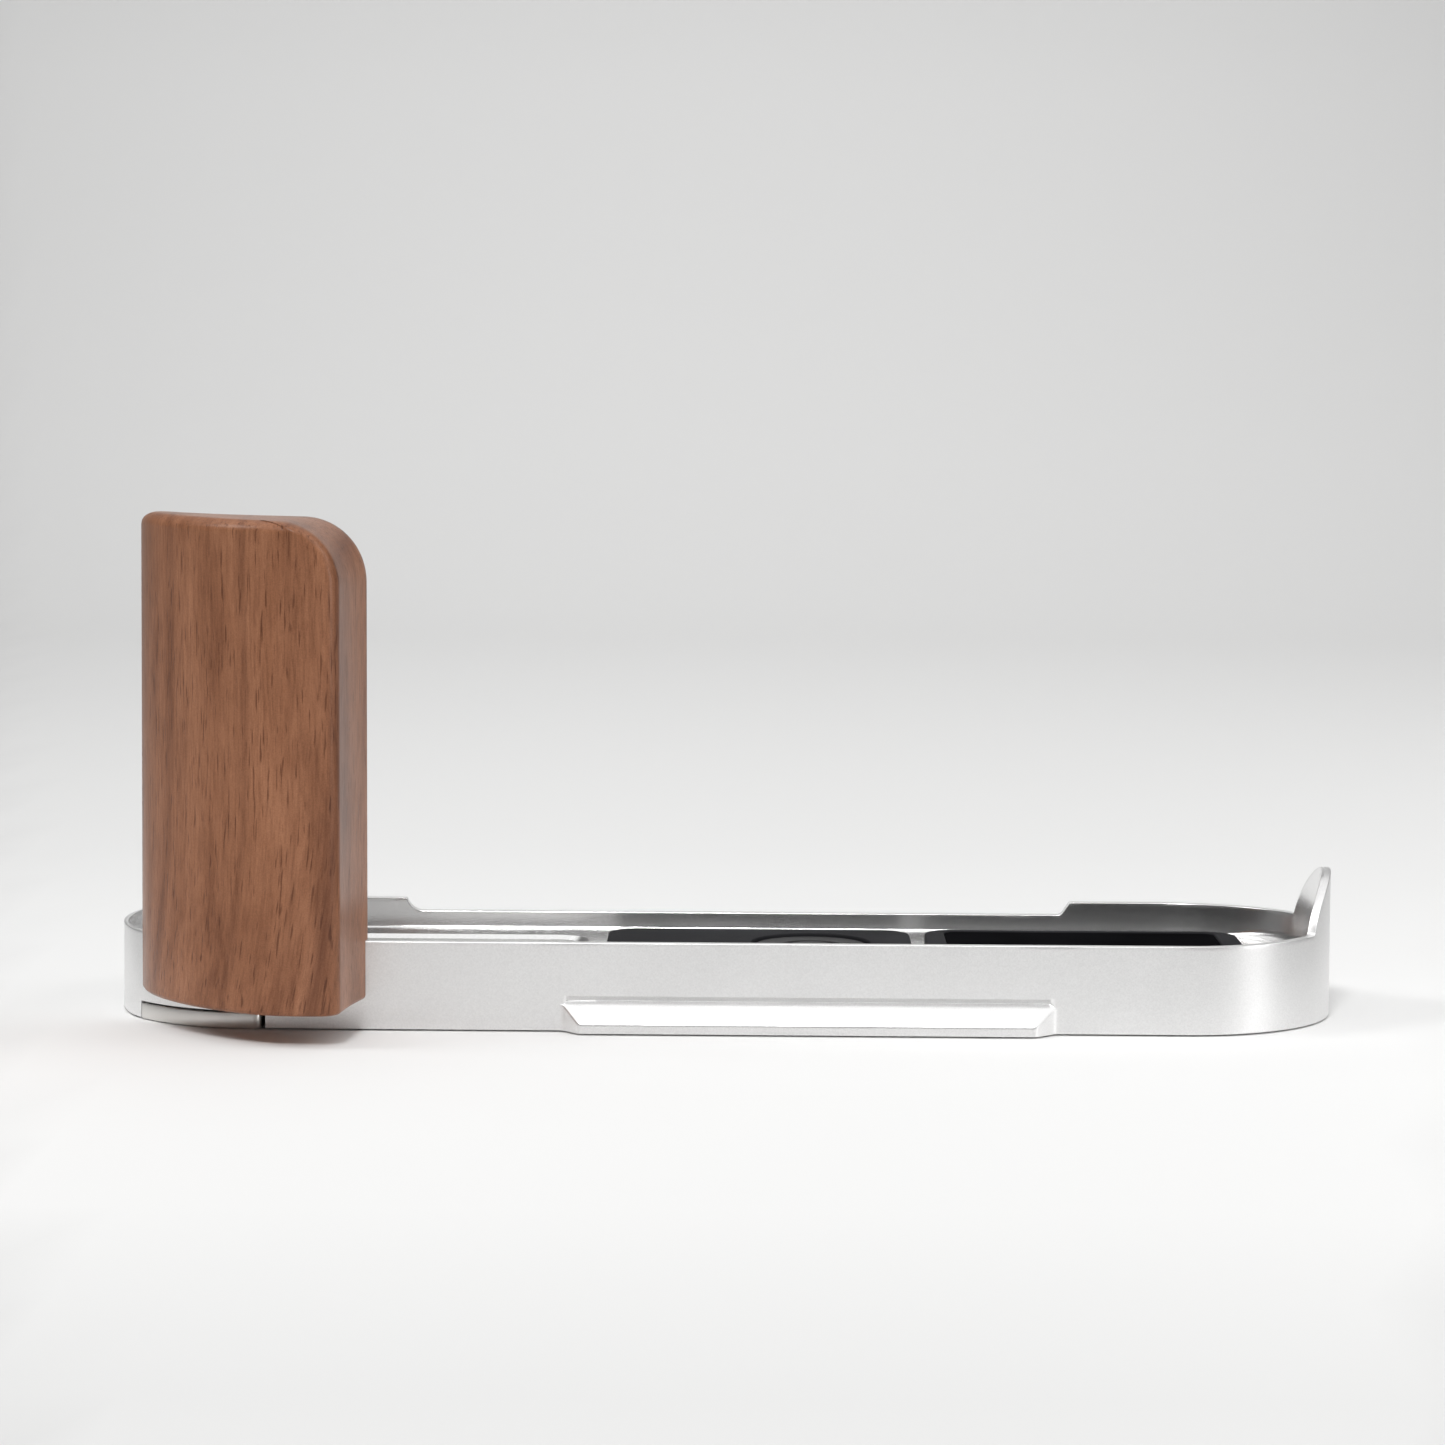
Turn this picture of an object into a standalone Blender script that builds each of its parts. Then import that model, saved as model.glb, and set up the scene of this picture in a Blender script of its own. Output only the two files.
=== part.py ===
"""Camera hand grip: a tray-shaped metal base plate with dovetail lips and a wooden grip.

Metres, +Z up. X runs along the plate, the grip stands at the -X end on the -Y side, and the
origin is on the underside, half way along the plate and half way across it.
"""
from math import acos, asin, atan2, ceil, cos, degrees, floor, pi, radians, sin, sqrt, tan

import bmesh
import bpy
from mathutils import Matrix, Vector

# Plate
PLATE_LENGTH = 0.1320
PLATE_DEPTH = 0.0340
RIM_HEIGHT = 0.0095
WALL = 0.0010
FLOOR_TOP = 0.0060
FOOT_FILLET = 0.0004
EDGE_CHAMFER = 0.00015
NOTCH_HEIGHT = 0.00805
NOTCH_LEFT = -0.0362
NOTCH_RIGHT = 0.0390
NOTCH_LEFT_FILLET = 0.0020
NOTCH_RIGHT_RUN = 0.0010
NOTCH_RIGHT_FILLET = 0.0009
NOTCH_EDGE_FILLET = 0.0003

# End tab, an arch that follows the +X end
TAB_HEIGHT = 0.0159
TAB_RADIUS = 0.0095
TAB_CENTRE_Y = -0.0007
TAB_FOOT_FILLET = 0.0010

# Dovetail lips, one along each side
LIP_REACH = 0.0020
LIP_LEFT = -0.0179
LIP_RIGHT = 0.0364
LIP_END_RUN = 0.0041
LIP_ROOT_RUN = 0.0013
LIP_END_FILLET = 0.0015
LIP_EDGE = 0.00107
LIP_SINK = 0.00004
GROOVE_DEPTH = 0.0003
GROOVE_TOP = 0.0038

# Battery opening through the floor
OPENING_END_MARGIN = 0.0110
OPENING_FRONT_MARGIN = 0.0095
OPENING_BACK_MARGIN = 0.0052
OPENING_TO_BUSH = 0.0028
OPENING_CORNER = 0.0035
OPENING_CHAMFER = 0.0005

# Camera screw, its recess and its washers
SCREW_X = 0.0095
THREAD_RADIUS = 0.003175
SCREW_LENGTH = 0.0068
SCREW_HEAD_RADIUS = 0.0066
SCREW_HEAD_HEIGHT = 0.0010
SCREW_TIP_CHAMFER = 0.0007
SCREW_EDGE_CHAMFER = 0.0002
SCREW_SLOT_WIDTH = 0.0016
SCREW_SLOT_DEPTH = 0.0007
SCREW_STAND = 0.0001
SCREW_WEB = 0.0010
RECESS_CLEARANCE = 0.0006
RUNNING_CLEARANCE = 0.0001
THRUST_WASHER_WIDTH = 0.0025
THRUST_WASHER_HEIGHT = 0.0002
RETAINER_WIDTH = 0.0029
RETAINER_HEIGHT = 0.0009

# Tripod bush
BUSH_X = -0.0085
BUSH_RADIUS = 0.0042
BUSH_BORE = 0.0026
BUSH_HEIGHT = 0.0050
BUSH_CHAMFER = 0.0004

# Pads that carry the camera
PAD_HEIGHT = 0.0012
PAD_SIDE_MARGIN = 0.0076
PAD_CORNER = 0.0032
CENTRE_PAD_LEFT = -0.01285
CENTRE_PAD_RIGHT = 0.0205
PAD_HOLE_RADIUS = 0.0065
SIDE_PAD_LEFT = 0.0222
SIDE_PAD_END_MARGIN = 0.0092
WINDOW_END_MARGIN = 0.0023
WINDOW_SIDE_MARGIN = 0.0011
WINDOW_CORNER = 0.0014
INSERT_PAD_HEIGHT = 0.0011
PAD_CLEARANCE = 0.0002
END_PAD_MARGIN = 0.0016
END_PAD_FRONT_MARGIN = 0.0094
END_PAD_TO_OPENING = 0.0016

# Strap lug under the grip, its pivot and its magnet
LUG_BOTTOM = 0.0001
LUG_HEIGHT = 0.0017
LUG_CEILING_GAP = 0.0002
LUG_WIDTH = 0.0052
LUG_START_ANGLE = 219.5
LUG_PIVOT_INSET = 0.0028
LUG_PIVOT_ANGLE = 261.5
LUG_TAIL = 0.0026
LUG_TAIL_FILLET = 0.0010
LUG_TAIL_GAP = 0.00034
LUG_SIDE_GAP = 0.00012
LUG_SWEEP_GAP = 0.00015
LUG_EYE_RADIUS = 0.0013
LUG_EYE_ANGLE = 226.5
PIVOT_SHOULDER_RADIUS = 0.00125
PIVOT_HEAD_RADIUS = 0.0019
PIVOT_HEAD_HEIGHT = 0.0006
PIVOT_THREAD_RADIUS = 0.0010
PIVOT_THREAD_LENGTH = 0.0026
PIVOT_SOCKET_RADIUS = 0.0007
PIVOT_SOCKET_DEPTH = 0.0004
PIVOT_CLEARANCE = 0.00006
WAVE_WASHER_WIDTH = 0.0009
WAVE_WASHER_HEIGHT = 0.00014
MAGNET_RADIUS = 0.00125
MAGNET_HEIGHT = 0.0012
MAGNET_ANGLE = 237.0

# Grip bracket: a foot on the floor and an upright behind the wood
BRACKET_FOOT_HEIGHT = 0.0012
BRACKET_FOOT_DEPTH = 0.0070
BRACKET_LEFT_ANGLE = 238.0
BRACKET_HEEL_ANGLE = 239.5
BRACKET_TO_GRIP_SIDE = 0.00325
UPRIGHT_THICKNESS = 0.0020
UPRIGHT_TO_GRIP_TOP = 0.0063
UPRIGHT_CORNER = 0.0030
LINER_THICKNESS = 0.0005
LINER_OVER_RIM = 0.0025
LINER_MARGIN = 0.0012
FIT_GAP = 0.0001

# Fasteners of the bracket and of the wood
FOOT_SCREW_RADIUS = 0.0010
FOOT_SCREW_HEAD_RADIUS = 0.0019
FOOT_SCREW_LENGTH = 0.0042
FOOT_SCREW_RUN_SHARE = 0.306
FOOT_SCREW_TO_SIDE = 0.0030
FOOT_SCREW_INSET = 0.0049
GRIP_SCREW_RADIUS = 0.00125
GRIP_SCREW_HEAD_RADIUS = 0.0023
GRIP_SCREW_LENGTH = 0.0060
GRIP_SCREW_TO_SIDE = 0.0030
GRIP_SCREW_STAGGER = 0.0042
GRIP_SCREW_OVER_RIM = 0.0070
GRIP_SCREW_UNDER_TOP = 0.0065
SCREW_SOCKET_RADIUS = 0.0008
SCREW_SOCKET_DEPTH = 0.0006
COUNTERSINK_GAP = 0.00005
GRIP_INSERT_RADIUS = 0.0021
GRIP_INSERT_LENGTH = 0.0045

# Wooden grip
GRIP_END_INSET = 0.0040
GRIP_WIDTH = 0.0246
GRIP_BOTTOM = 0.0035
GRIP_TOP = 0.0543
GRIP_REACH = 0.0115
GRIP_BELLY_RUN = 0.0170
GRIP_SHOULDER_STEP = 0.00005
GRIP_BELLY_POWER = 1.5
GRIP_FLANK_LEAN = 0.0017
GRIP_RIDGE_FILLET = 0.0009
GRIP_TOP_CORNER = 0.0060
GRIP_TOP_LEFT_CORNER = 0.0013
GRIP_FRONT_FILLET = 0.0020
GRIP_FOOT_FILLET = 0.0004

# Shared
CUT_OVERRUN = 0.0010
ARC_STEP = 7.5
TURNED_SIDES = 40
SMALL_SIDES = 20
CORNER_STEPS = 5

END_RADIUS = PLATE_DEPTH / 2
END_X = PLATE_LENGTH / 2 - END_RADIUS
INNER_RADIUS = END_RADIUS - WALL
PAD_TOP = FLOOR_TOP + PAD_HEIGHT
PAD_DEPTH = PLATE_DEPTH - 2 * PAD_SIDE_MARGIN
SIDE_PAD_RIGHT = PLATE_LENGTH / 2 - SIDE_PAD_END_MARGIN
END_PAD_FRONT = END_PAD_FRONT_MARGIN - END_RADIUS
OPENING_LEFT = OPENING_END_MARGIN - PLATE_LENGTH / 2
OPENING_RIGHT = BUSH_X - BUSH_RADIUS - OPENING_TO_BUSH
OPENING_FRONT = OPENING_FRONT_MARGIN - END_RADIUS
OPENING_BACK = END_RADIUS - OPENING_BACK_MARGIN
GRIP_LEFT = GRIP_END_INSET - PLATE_LENGTH / 2
GRIP_RIGHT = GRIP_LEFT + GRIP_WIDTH
GRIP_FRONT = -(END_RADIUS + GRIP_REACH)
GRIP_BELLY_X = GRIP_LEFT + GRIP_BELLY_RUN
GRIP_SHOULDER_Y = -GRIP_SHOULDER_STEP - sqrt(
    END_RADIUS ** 2 - (END_RADIUS - GRIP_END_INSET) ** 2
)
BRACKET_RIGHT = GRIP_RIGHT - BRACKET_TO_GRIP_SIDE
BRACKET_FOOT_BACK = BRACKET_FOOT_DEPTH - INNER_RADIUS
UPRIGHT_TOP = GRIP_TOP - UPRIGHT_TO_GRIP_TOP
LINER_BOTTOM = RIM_HEIGHT + LINER_OVER_RIM
FOOT_SCREW_FIRST = -END_X - END_RADIUS * FOOT_SCREW_RUN_SHARE
FOOT_SCREW_LAST = BRACKET_RIGHT - FOOT_SCREW_TO_SIDE
FOOT_SCREW_PLACES = [
    (x, FOOT_SCREW_INSET - INNER_RADIUS)
    for x in (FOOT_SCREW_FIRST, (FOOT_SCREW_FIRST + FOOT_SCREW_LAST) / 2, FOOT_SCREW_LAST)
]
GRIP_SCREW_X = BRACKET_RIGHT - GRIP_SCREW_TO_SIDE
GRIP_SCREW_LOW = RIM_HEIGHT + GRIP_SCREW_OVER_RIM
GRIP_SCREW_HIGH = UPRIGHT_TOP - GRIP_SCREW_UNDER_TOP
GRIP_SCREW_PLACES = [
    (GRIP_SCREW_X, GRIP_SCREW_LOW),
    (GRIP_SCREW_X - GRIP_SCREW_STAGGER, (GRIP_SCREW_LOW + GRIP_SCREW_HIGH) / 2),
    (GRIP_SCREW_X, GRIP_SCREW_HIGH),
]
LUG_TOP = LUG_BOTTOM + LUG_HEIGHT
POCKET_CEILING = LUG_TOP + LUG_CEILING_GAP
RECESS_CEILING = FLOOR_TOP - SCREW_WEB


def finish(name, colour, roughness, metallic):
    """A Principled material with one colour."""
    material = bpy.data.materials.new(name)
    material.use_nodes = True
    shader = material.node_tree.nodes["Principled BSDF"]
    shader.inputs["Base Color"].default_value = (*colour, 1.0)
    shader.inputs["Roughness"].default_value = roughness
    shader.inputs["Metallic"].default_value = metallic
    material.diffuse_color = (*colour, 1.0)
    return material


def add_object(name, mesh, material=None, origin=(0, 0, 0)):
    """Put a mesh into the scene as a named object with its origin at a place."""
    mesh.transform(Matrix.Translation(Vector(origin)).inverted())
    thing = bpy.data.objects.new(name, mesh)
    thing.location = origin
    bpy.context.scene.collection.objects.link(thing)
    if material is not None:
        mesh.materials.append(material)
    return thing


def loft(name, rings, looped=False):
    """A closed mesh through rings of equally many points, capped unless it is looped."""
    build = bmesh.new()
    levels = [[build.verts.new(point) for point in ring] for ring in rings]
    pairs = list(zip(levels, levels[1:]))
    if looped:
        pairs.append((levels[-1], levels[0]))
    for low, high in pairs:
        for index in range(len(low)):
            after = (index + 1) % len(low)
            build.faces.new((low[index], low[after], high[after], high[index]))
    if not looped:
        build.faces.new(list(reversed(levels[0])))
        build.faces.new(levels[-1])
    bmesh.ops.recalc_face_normals(build, faces=build.faces)
    mesh = bpy.data.meshes.new(name)
    build.to_mesh(mesh)
    build.free()
    return mesh


def flat_ring(outline, height):
    """Lift a plan outline to a height."""
    return [(x, y, height) for x, y in outline]


def prism(name, outline, low, high):
    """A plan outline extruded along Z."""
    return loft(name, [flat_ring(outline, low), flat_ring(outline, high)])


def prism_along_y(name, outline, low, high):
    """An outline in X and Z extruded along Y."""
    return loft(name, [[(x, y, z) for x, z in outline] for y in (low, high)])


def prism_along_x(name, outline, low, high):
    """An outline in Y and Z extruded along X."""
    return loft(name, [[(x, y, z) for y, z in outline] for x in (low, high)])


def circle_ring(radius, height, sides, centre=(0, 0)):
    """One ring of a turned shape."""
    turns = [2 * pi * index / sides for index in range(sides)]
    return [(centre[0] + radius * cos(t), centre[1] + radius * sin(t), height) for t in turns]


def turned(name, profile, sides, centre=(0, 0), hollow=False):
    """A turned solid from pairs of radius and height; a hollow one has a closed profile."""
    rings = [circle_ring(radius, height, sides, centre) for radius, height in profile]
    return loft(name, rings, looped=hollow)


def rounded(points, radii, steps=CORNER_STEPS):
    """An outline with each corner rounded by its own radius; zero leaves it sharp."""
    outline = []
    for index, corner in enumerate(points):
        radius = radii[index]
        here = Vector(corner)
        if radius == 0:
            outline.append((here.x, here.y))
            continue
        back = (Vector(points[index - 1]) - here).normalized()
        ahead = (Vector(points[(index + 1) % len(points)]) - here).normalized()
        half = back.angle(ahead) / 2
        middle = here + (back + ahead).normalized() * (radius / sin(half))
        start = here + back * (radius / tan(half)) - middle
        end = here + ahead * (radius / tan(half)) - middle
        turn = start.angle_signed(end)
        for step in range(steps + 1):
            spot = middle + Matrix.Rotation(-turn * step / steps, 2) @ start
            outline.append((spot.x, spot.y))
    return outline


def rounded_box(left, right, front, back, radius, steps=CORNER_STEPS):
    """A rectangle in plan with four equal corners."""
    corners = ((left, front), (right, front), (right, back), (left, back))
    return rounded(corners, (radius,) * len(corners), steps)


def arc(centre, radius, start, end):
    """Points of an arc, in degrees, always including the stations that all arcs share."""
    low, high = min(start, end), max(start, end)
    first, last = floor(low / ARC_STEP) + 1, ceil(high / ARC_STEP) - 1
    stations = [low] + [index * ARC_STEP for index in range(first, last + 1)] + [high]
    if start > end:
        stations.reverse()
    turns = [radians(angle) for angle in stations]
    return [(centre[0] + radius * cos(t), centre[1] + radius * sin(t)) for t in turns]


def plate_outline(inset):
    """The plate's full-round plan, moved inwards."""
    radius = END_RADIUS - inset
    return arc((END_X, 0), radius, -90, 90) + arc((-END_X, 0), radius, 90, 270)


def end_band(inner, outer, left_angle, right):
    """A band that follows the -X end from an angle to the straight front, and on to a place."""
    outside = arc((-END_X, 0), outer, left_angle, 270) + [(right, -outer)]
    inside = [(right, -inner)] + arc((-END_X, 0), inner, 270, left_angle)
    return outside + inside


def cut(thing, mesh, operation="DIFFERENCE"):
    """Cut, join or trim an object by a mesh, which stays hidden as a wire guide."""
    tool = add_object(mesh.name, mesh)
    tool.display_type = "WIRE"
    tool.hide_render = True
    step = thing.modifiers.new(mesh.name, "BOOLEAN")
    step.operation = operation
    step.solver = "EXACT"
    step.object = tool


def soften(thing, angle=30):
    """Smooth shading that keeps the real edges."""
    thing.data.shade_smooth()
    thing.data.set_sharp_from_angle(angle=radians(angle))


def placed(mesh, matrix):
    """Move a mesh and hand it back."""
    mesh.transform(matrix)
    return mesh


def pivot_place():
    """The lug's pivot in plan."""
    radius = END_RADIUS - LUG_PIVOT_INSET
    turn = radians(LUG_PIVOT_ANGLE)
    return -END_X + radius * cos(turn), radius * sin(turn)


def end_place(angle, radius):
    """A place round the centre of the -X end."""
    return -END_X + radius * cos(radians(angle)), radius * sin(radians(angle))


def lug_outline(grow, tail_grow):
    """The lug's plan: an arc-shaped arm with a rounded tail, or its pocket when it grows."""
    tail_x = pivot_place()[0] + LUG_TAIL + tail_grow
    outer = END_RADIUS
    if grow:
        outer = END_RADIUS + CUT_OVERRUN
    inner = END_RADIUS - LUG_WIDTH - grow
    start = LUG_START_ANGLE - degrees(grow / END_RADIUS)
    fillet = LUG_TAIL_FILLET if not grow else 0
    tail_turn = degrees(acos(min(1, (tail_x + END_X) / outer)))
    inner_turn = degrees(acos(min(1, (tail_x + END_X) / inner)))
    arm = arc((-END_X, 0), outer, start, 360 - tail_turn)
    back = arc((-END_X, 0), inner, 360 - inner_turn, start)
    if fillet:
        corner = arm[-1]
        before = arm[-2]
        after = back[0]
        smooth = rounded((before, corner, after), (0, fillet, 0))
        keep = [point for point in arm[:-1] if point[0] < smooth[1][0]]
        arm = keep + smooth[1:-1]
    return arm + back


def base_plate(material):
    """The tray: floor, rim, end tab, lips and every cut in them."""
    top = TAB_HEIGHT
    fillet_turns = [radians(90 * index / CORNER_STEPS) for index in range(CORNER_STEPS + 1)]
    foot = [
        (WALL + FOOT_FILLET * (1 - cos(turn)), FLOOR_TOP + FOOT_FILLET * (1 - sin(turn)))
        for turn in fillet_turns
    ]
    profile = [
        (EDGE_CHAMFER, 0),
        (0, EDGE_CHAMFER),
        (0, top),
        (WALL, top),
    ] + foot
    rings = [flat_ring(plate_outline(inset), height) for inset, height in profile]
    plate = add_object("base_plate", loft("base_plate", rings), material)
    side = PLATE_DEPTH / 2 + CUT_OVERRUN
    end = PLATE_LENGTH / 2 + CUT_OVERRUN
    above = top + CUT_OVERRUN

    cut(plate, prism("rim_cutter", rounded_box(-end, END_X, -side, side, 0), RIM_HEIGHT, above))
    cut(plate, prism_along_x("tab_cutter", tab_outline(side, above), END_X - WALL, end))

    notch_points = (
        (NOTCH_LEFT, above),
        (NOTCH_LEFT, NOTCH_HEIGHT),
        (NOTCH_RIGHT - NOTCH_RIGHT_RUN, NOTCH_HEIGHT),
        (NOTCH_RIGHT, RIM_HEIGHT),
        (NOTCH_RIGHT + RIM_HEIGHT - NOTCH_HEIGHT, RIM_HEIGHT),
        (NOTCH_RIGHT + RIM_HEIGHT - NOTCH_HEIGHT, above),
    )
    notch_radii = (0, NOTCH_LEFT_FILLET, NOTCH_RIGHT_FILLET, NOTCH_EDGE_FILLET, 0, 0)
    notch = rounded(notch_points, notch_radii)
    cut(plate, prism_along_y("notch_cutter", notch, INNER_RADIUS - CUT_OVERRUN, side))

    for facing, word in ((-1, "front"), (1, "rear")):
        cut(plate, lip_mesh(word, facing), "UNION")
        cut(plate, flank_mesh(word, facing))

    opening = [
        flat_ring(opening_outline(grow), height)
        for grow, height in (
            (0, -CUT_OVERRUN),
            (0, FLOOR_TOP - OPENING_CHAMFER),
            (OPENING_CHAMFER, FLOOR_TOP),
            (OPENING_CHAMFER, FLOOR_TOP + CUT_OVERRUN),
        )
    ]
    cut(plate, loft("opening_cutter", opening))

    screw = (SCREW_X, 0)
    recess = SCREW_HEAD_RADIUS + RECESS_CLEARANCE
    hole = THREAD_RADIUS + RUNNING_CLEARANCE
    bore = [
        (recess, -CUT_OVERRUN),
        (recess, RECESS_CEILING),
        (hole, RECESS_CEILING),
        (hole, FLOOR_TOP + CUT_OVERRUN),
    ]
    cut(plate, turned("screw_bore_cutter", bore, TURNED_SIDES, screw))

    bush = [(BUSH_RADIUS + FIT_GAP, -CUT_OVERRUN), (BUSH_RADIUS + FIT_GAP, BUSH_HEIGHT + FIT_GAP)]
    cut(plate, turned("bush_cutter", bush, TURNED_SIDES, (BUSH_X, 0)))

    pocket = lug_outline(LUG_SIDE_GAP, LUG_TAIL_GAP)
    cut(plate, prism("lug_pocket_cutter", pocket, -CUT_OVERRUN, POCKET_CEILING))
    reach = sqrt(LUG_TAIL ** 2 + (LUG_WIDTH - LUG_PIVOT_INSET) ** 2) + LUG_SWEEP_GAP
    sweep = [(reach, -CUT_OVERRUN), (reach, POCKET_CEILING)]
    cut(plate, turned("lug_sweep_cutter", sweep, TURNED_SIDES, pivot_place()))
    thread = PIVOT_THREAD_RADIUS + PIVOT_CLEARANCE
    tapped = [(thread, LUG_BOTTOM), (thread, POCKET_CEILING + PIVOT_THREAD_LENGTH + FIT_GAP)]
    cut(plate, turned("pivot_cutter", tapped, SMALL_SIDES, pivot_place()))
    magnet = MAGNET_RADIUS + FIT_GAP
    seat = [(magnet, LUG_BOTTOM), (magnet, POCKET_CEILING + MAGNET_HEIGHT + FIT_GAP)]
    place = end_place(MAGNET_ANGLE, END_RADIUS - LUG_WIDTH / 2)
    cut(plate, turned("magnet_cutter", seat, SMALL_SIDES, place))

    gate = end_band(
        INNER_RADIUS - CUT_OVERRUN,
        END_RADIUS + CUT_OVERRUN,
        BRACKET_LEFT_ANGLE - degrees(FIT_GAP / END_RADIUS),
        BRACKET_RIGHT + FIT_GAP,
    )
    cut(plate, prism("bracket_gate_cutter", gate, FLOOR_TOP, above))
    depth = FLOOR_TOP + BRACKET_FOOT_HEIGHT - FOOT_SCREW_LENGTH - FIT_GAP
    hole = FOOT_SCREW_RADIUS + COUNTERSINK_GAP
    for index, spot in enumerate(FOOT_SCREW_PLACES):
        drilled = [(hole, depth), (hole, FLOOR_TOP + CUT_OVERRUN)]
        cut(plate, turned(f"foot_screw_cutter_{index}", drilled, SMALL_SIDES, spot))
    soften(plate)
    return plate


def opening_outline(grow):
    """The battery opening in plan, moved outwards."""
    left, right = OPENING_LEFT - grow, OPENING_RIGHT + grow
    front, back = OPENING_FRONT - grow, OPENING_BACK + grow
    return rounded_box(left, right, front, back, OPENING_CORNER + grow)


def tab_outline(side, above):
    """What is cut away over the rim at the +X end: everything but the arch."""
    middle_z = TAB_HEIGHT - TAB_RADIUS
    reach = TAB_RADIUS + TAB_FOOT_FILLET
    drop = RIM_HEIGHT + TAB_FOOT_FILLET - middle_z
    foot_y = sqrt(reach ** 2 - drop ** 2)
    meet = atan2(drop, foot_y)
    arch = []
    for step in range(CORNER_STEPS + 1):
        turn = radians(-90) + (radians(-90) + meet) * step / CORNER_STEPS
        arch.append((foot_y + TAB_FOOT_FILLET * cos(turn),
                     RIM_HEIGHT + TAB_FOOT_FILLET * (1 + sin(turn))))
    arch_steps = 3 * CORNER_STEPS
    for step in range(1, arch_steps):
        turn = meet + (pi - 2 * meet) * step / arch_steps
        arch.append((TAB_RADIUS * cos(turn), middle_z + TAB_RADIUS * sin(turn)))
    mirrored = [(-y, z) for y, z in reversed(arch[: CORNER_STEPS + 1])]
    arch = [(TAB_CENTRE_Y + y, z) for y, z in arch + mirrored]
    return [(side, RIM_HEIGHT)] + arch + [(-side, RIM_HEIGHT), (-side, above), (side, above)]


def lip_mesh(word, facing):
    """One dovetail lip before its flank is cut, with S-curved ends."""
    face = PLATE_DEPTH / 2 + LIP_REACH
    root = PLATE_DEPTH / 2 - LIP_SINK
    inside = root - WALL / 2
    points = (
        (LIP_LEFT, inside),
        (LIP_LEFT, root),
        (LIP_LEFT + LIP_ROOT_RUN, root),
        (LIP_LEFT + LIP_END_RUN - LIP_ROOT_RUN / 2, face),
        (LIP_RIGHT - LIP_END_RUN + LIP_ROOT_RUN / 2, face),
        (LIP_RIGHT - LIP_ROOT_RUN, root),
        (LIP_RIGHT, root),
        (LIP_RIGHT, inside),
    )
    radii = (0, 0) + (LIP_END_FILLET,) * 4 + (0, 0)
    outline = [(x, facing * y) for x, y in rounded(points, radii)]
    top = LIP_EDGE + LIP_REACH + GROOVE_DEPTH
    return prism(f"{word}_lip_body", outline, 0, top)


def flank_mesh(word, facing):
    """What a lip's 45 degree flank and its relief groove cut away."""
    face = PLATE_DEPTH / 2 + LIP_REACH
    side = PLATE_DEPTH / 2
    root_z = LIP_EDGE + LIP_REACH + GROOVE_DEPTH
    outline = (
        (face + LIP_EDGE / 2, LIP_EDGE / 2),
        (side - GROOVE_DEPTH, root_z),
        (side, GROOVE_TOP),
        (face + LIP_EDGE / 2, GROOVE_TOP),
    )
    turned_outline = [(facing * y, z) for y, z in outline]
    return prism_along_x(f"{word}_flank_cutter", turned_outline, LIP_LEFT, LIP_RIGHT)


def camera_screw(material):
    """The slotted screw that holds the camera, let down as the plate stands."""
    low = SCREW_STAND
    head = SCREW_HEAD_RADIUS
    shoulder = low + SCREW_HEAD_HEIGHT
    tip = low + SCREW_LENGTH
    profile = [
        (head - SCREW_EDGE_CHAMFER, low),
        (head, low + SCREW_EDGE_CHAMFER),
        (head, shoulder),
        (THREAD_RADIUS, shoulder),
        (THREAD_RADIUS, tip - SCREW_TIP_CHAMFER),
        (THREAD_RADIUS - SCREW_TIP_CHAMFER, tip),
    ]
    centre = (SCREW_X, 0)
    mesh = turned("camera_screw", profile, TURNED_SIDES, centre)
    screw = add_object("camera_screw", mesh, material, (*centre, low))
    half = SCREW_SLOT_WIDTH / 2
    reach = head + CUT_OVERRUN
    slot = rounded_box(SCREW_X - reach, SCREW_X + reach, -half, half, 0)
    cut(screw, prism("screw_slot_cutter", slot, low - CUT_OVERRUN, low + SCREW_SLOT_DEPTH))
    soften(screw)
    return screw


def washer(name, inner, width, low, height, centre, sides, material):
    """A flat ring."""
    outer = inner + width
    profile = [(inner, low), (outer, low), (outer, low + height), (inner, low + height)]
    mesh = turned(name, profile, sides, centre, hollow=True)
    ring = add_object(name, mesh, material, (*centre, low))
    soften(ring)
    return ring


def tripod_bush(material):
    """The threaded steel bush pressed into the underside."""
    low = FIT_GAP
    profile = [
        (BUSH_BORE + BUSH_CHAMFER, low),
        (BUSH_RADIUS - BUSH_CHAMFER, low),
        (BUSH_RADIUS, low + BUSH_CHAMFER),
        (BUSH_RADIUS, BUSH_HEIGHT),
        (BUSH_BORE, BUSH_HEIGHT),
        (BUSH_BORE, low + BUSH_CHAMFER),
    ]
    bush = turned("tripod_bush", profile, TURNED_SIDES, (BUSH_X, 0), hollow=True)
    thing = add_object("tripod_bush", bush, material)
    soften(thing)
    return thing


def centre_pad(material):
    """The rubber pad round the camera screw."""
    half = PAD_DEPTH / 2
    outline = rounded_box(CENTRE_PAD_LEFT, CENTRE_PAD_RIGHT, -half, half, PAD_CORNER)
    pad = add_object("centre_pad", prism("centre_pad", outline, FLOOR_TOP, PAD_TOP), material)
    hole = [(PAD_HOLE_RADIUS, FLOOR_TOP - CUT_OVERRUN), (PAD_HOLE_RADIUS, PAD_TOP + CUT_OVERRUN)]
    cut(pad, turned("pad_hole_cutter", hole, TURNED_SIDES, (SCREW_X, 0)))
    return pad


def window_outline(inset):
    """The opening in the side pad, or the insert that lies in it."""
    half = PAD_DEPTH / 2 - WINDOW_SIDE_MARGIN - inset
    left = SIDE_PAD_LEFT + WINDOW_END_MARGIN + inset
    right = SIDE_PAD_RIGHT - WINDOW_END_MARGIN - inset
    return rounded_box(left, right, -half, half, WINDOW_CORNER - inset)


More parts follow.
